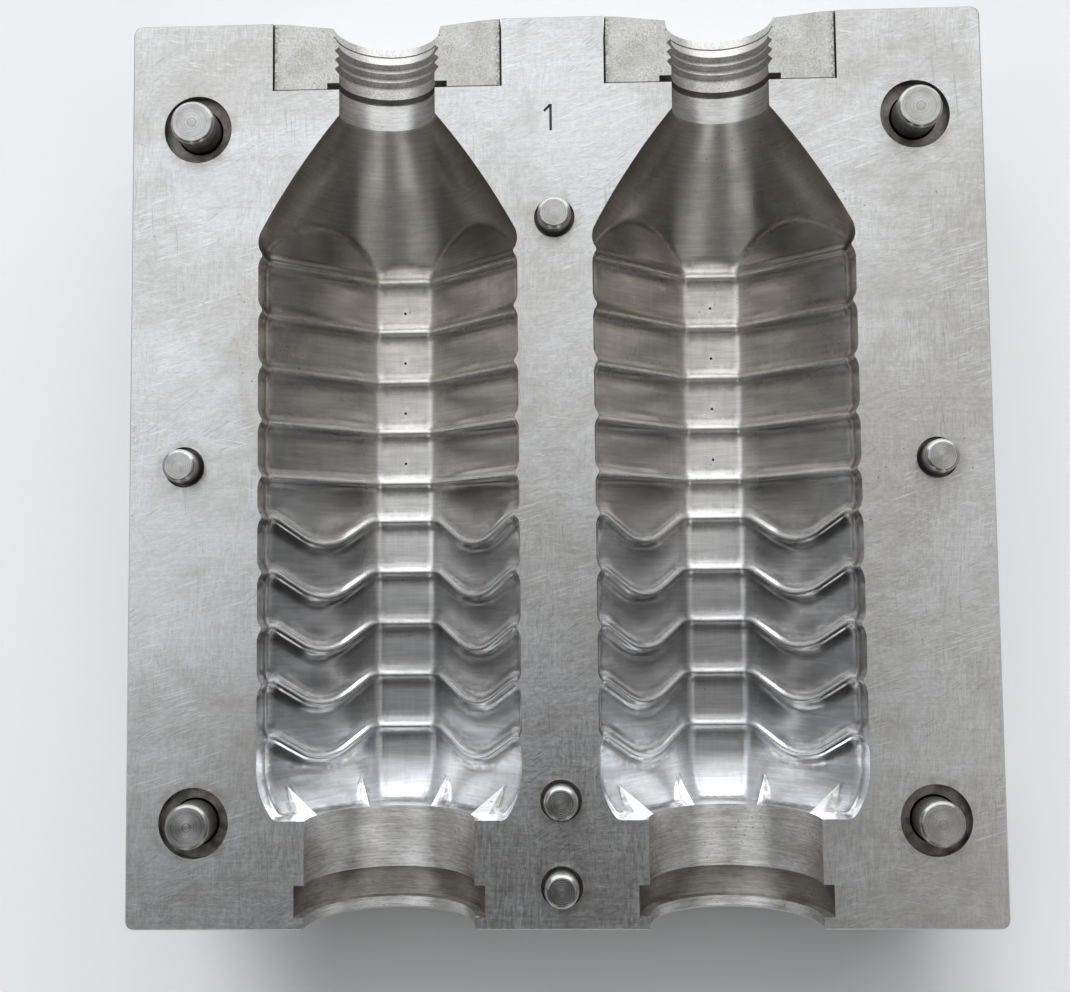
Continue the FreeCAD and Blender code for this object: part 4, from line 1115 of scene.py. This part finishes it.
def build():
    """Every piece, riding on the row's one body."""
    block = mould_block()
    block.name = "block"
    smooth_with_edges(block, SHARP_ON["block"])
    dress_block(block)
    pieces = [(block, "mould_block", "mould_steel")]
    satin = insert_steel()
    for name, side in SIDES.items():
        insert = neck_insert("insert_" + name, side)
        smooth_with_edges(insert, SHARP_ON["insert"])
        wear(insert, satin)
        pieces.append((insert, "neck_insert_" + name, "insert_steel"))
    turned = turned_pin()
    for kind, name, x, y in PIN_PLACES:
        pin = standing_pin("%s_%s" % (kind, name), kind, x, y)
        smooth_with_edges(pin, SHARP_ON["pin"])
        wear(pin, turned)
        pieces.append((pin, "%s_pin_%s" % (kind, name), "pin_steel"))
    for thing, node, slot in pieces:
        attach(thing, "root")
        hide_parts(node)
    black = patchy("oxide_black", OXIDE, WORN_OXIDE, 500, (0.4, 0.65), (0.35, 0.5), 10, 4)
    brass = patchy("plug_brass", TARNISH, BRASS, 350, SOFTEST, (0.45, 0.3), 12, 5)
    for name in SIDES:
        for way in "ab":
            wear(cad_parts["insert_screw_%s_%s" % (name, way)], black)
        wear(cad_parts["channel_plug_" + name], brass)


build()


# Floor, in millimetres, and its patterns and the surroundings, in metres

FLOOR_REACH = 6000.0
FLOOR_RAMP = (-0.16, 0.16)
NEAR_PAPER, FAR_PAPER, LIT_PAPER = (0.82, 0.83, 0.845), (0.80, 0.81, 0.82), (0.62, 0.62, 0.62)
PAPER_ROUGHNESS = 0.9
FLOOR_GLOW = 0.25
SHADOW_MIDDLE = (0.015, -0.155, 0.0)
SHADOW_HALF = (0.085, 0.035, 0.0)
SHADOW_FADE = 0.05
SKY = (0.96, 0.98, 1.0)
DIM_WORLD = 0.02
PALE_HORIZON = 0.55
HORIZON_FADE = (0.10, 0.30)


def background_rays(graph):
    """One for rays that show the background directly, in metal or through glass."""
    rays = graph.add("LightPath").outputs
    seen = graph.most(rays["Is Camera Ray"], rays["Is Glossy Ray"])
    return graph.most(seen, rays["Is Transmission Ray"])


def outside_shadow(graph, place):
    """The paper's own glow, which stops where the part's shadow lies."""
    away = graph.vector("ABSOLUTE", graph.vector("SUBTRACT", place, SHADOW_MIDDLE))
    away = graph.vector("MAXIMUM", graph.vector("SUBTRACT", away, SHADOW_HALF))
    return graph.mapped(graph.length(away), 0.0, SHADOW_FADE, 0.0, FLOOR_GLOW)


def floor_paper():
    """Pale paper, as pale in the metal as when it is seen directly."""
    graph = Graph(bpy.data.materials.new("floor_paper"))
    place = graph.add("TexCoord").outputs["Object"]
    along = graph.axes(place)[1]
    paper = graph.mix(graph.mapped(along, *FLOOR_RAMP, kind="LINEAR"), NEAR_PAPER, FAR_PAPER)
    seen = background_rays(graph)
    graph.feed(graph.own("BSDF_PRINCIPLED"), {
        "Roughness": PAPER_ROUGHNESS, "Base Color": graph.mix(seen, LIT_PAPER, paper),
        "Emission Color": SKY, "Emission Strength": graph.times(seen, outside_shadow(graph, place))})
    return graph.owner


def floor():
    """A wide pale floor under the part."""
    corners = [(FLOOR_REACH * x, FLOOR_REACH * y, 0.0) for x, y in ((-1, -1), (1, -1), (1, 1), (-1, 1))]
    thing = mesh_object("floor", corners, [(0, 1, 2, 3)])
    wear(thing, floor_paper())


def surroundings():
    """A dim room with a pale horizon, which shows in the background and in the metal."""
    graph = Graph(bpy.data.worlds.new("studio"))
    up = graph.axes(graph.add("TexCoord").outputs["Generated"])[2]
    horizon = graph.mapped(up, *HORIZON_FADE, PALE_HORIZON, 0.0, kind="LINEAR")
    pale = graph.times(horizon, background_rays(graph))
    graph.feed(graph.own("BACKGROUND"), {"Color": SKY, "Strength": graph.plus(DIM_WORLD, pale)})
    bpy.context.scene.world = graph.owner


# Lamps: reach across and along or up in metres, brightness of the face, tint

CEILING_HEIGHT = 2.6
WINDOW_Y = 7.2
BEHIND_Y = -2.8
WARM = (1.0, 0.98, 0.955)
PLAIN = (1.0, 0.995, 0.985)
COOL = (0.955, 0.98, 1.0)
CEILINGS = {"back": ((-3.2, 3.2), (1.2, 2.9), 1.18, COOL),
             "left": ((-3.2, -0.7), (-0.45, 1.2), 1.17, COOL),
             "middle": ((-0.7, 0.7), (0.12, 1.2), 1.03, PLAIN),
             "right_back": ((0.7, 3.2), (0.35, 1.2), 0.80, WARM),
             "right": ((0.7, 3.2), (-0.45, 0.35), 0.50, WARM),
             "right_front": ((0.7, 2.2), (-1.1, -0.45), 0.92, WARM)}
UPRIGHTS = {"window": ((-9.0, 9.0), WINDOW_Y, (1.5, 6.4), 2.75, COOL),
            "window_sill": ((-9.0, 9.0), WINDOW_Y, (0.3, 1.5), 1.7, COOL),
            "behind_left": ((-1.5, -0.85), BEHIND_Y, (1.0, 2.8), 1.7, PLAIN),
            "behind_right": ((0.75, 1.45), BEHIND_Y, (1.0, 2.8), 1.7, PLAIN)}


def soft_box(name, place, aim, size, strength, tint):
    """A square soft light; strength is the brightness of its face."""
    lamp = bpy.data.lights.new(name, "AREA")
    lamp.shape = "RECTANGLE"
    lamp.size, lamp.size_y = size
    lamp.energy = strength * math.pi * size[0] * size[1]
    lamp.color = tint
    thing = placed(name, lamp)
    thing.location = place
    thing.rotation_euler = (Vector(place) - Vector(aim)).to_track_quat("Z", "Y").to_euler()
    thing.visible_camera = False


def reach(span):
    return span[1] - span[0]


def lamps():
    """Level soft lights overhead, and standing ones that face the part from either end."""
    for name, (across, along, strength, tint) in CEILINGS.items():
        x, y = sum(across) / 2, sum(along) / 2
        size = (reach(across), reach(along))
        soft_box("ceiling_" + name, (x, y, CEILING_HEIGHT), (x, y, 0.0), size, strength, tint)
    for name, (across, y, heights, strength, tint) in UPRIGHTS.items():
        x, z = sum(across) / 2, sum(heights) / 2
        soft_box(name, (x, y, z), (x, 0.0, z), (reach(across), reach(heights)), strength, tint)


# The photograph's view: turns about the row's X, Y and Z, and the place in millimetres

CAMERA_TURN = (-3.707, -1.878, 0.723)
CAMERA_PLACE = (4.85, -30.77, 394.09)
CAMERA_LENS = 41.389
CAMERA_SENSOR = 36.0
CLIP_START = 0.01


def camera():
    turn_x, turn_y, turn_z = [Matrix.Rotation(math.radians(angle), 3, axis)
                              for angle, axis in zip(CAMERA_TURN, "XYZ")]
    place = (turn_z @ turn_y @ turn_x).transposed().to_4x4()
    place.translation = Vector(CAMERA_PLACE) * MM
    lens = bpy.data.cameras.new("camera")
    lens.sensor_fit = "HORIZONTAL"
    lens.sensor_width = CAMERA_SENSOR
    lens.lens = CAMERA_LENS
    lens.clip_start = CLIP_START
    thing = placed("camera", lens)
    thing.matrix_world = place
    bpy.context.scene.camera = thing


floor()
surroundings()
lamps()
camera()
bpy.context.scene.view_settings.view_transform = "Standard"


def plain(box):
    return [list(map(float, corner)) for corner in box]
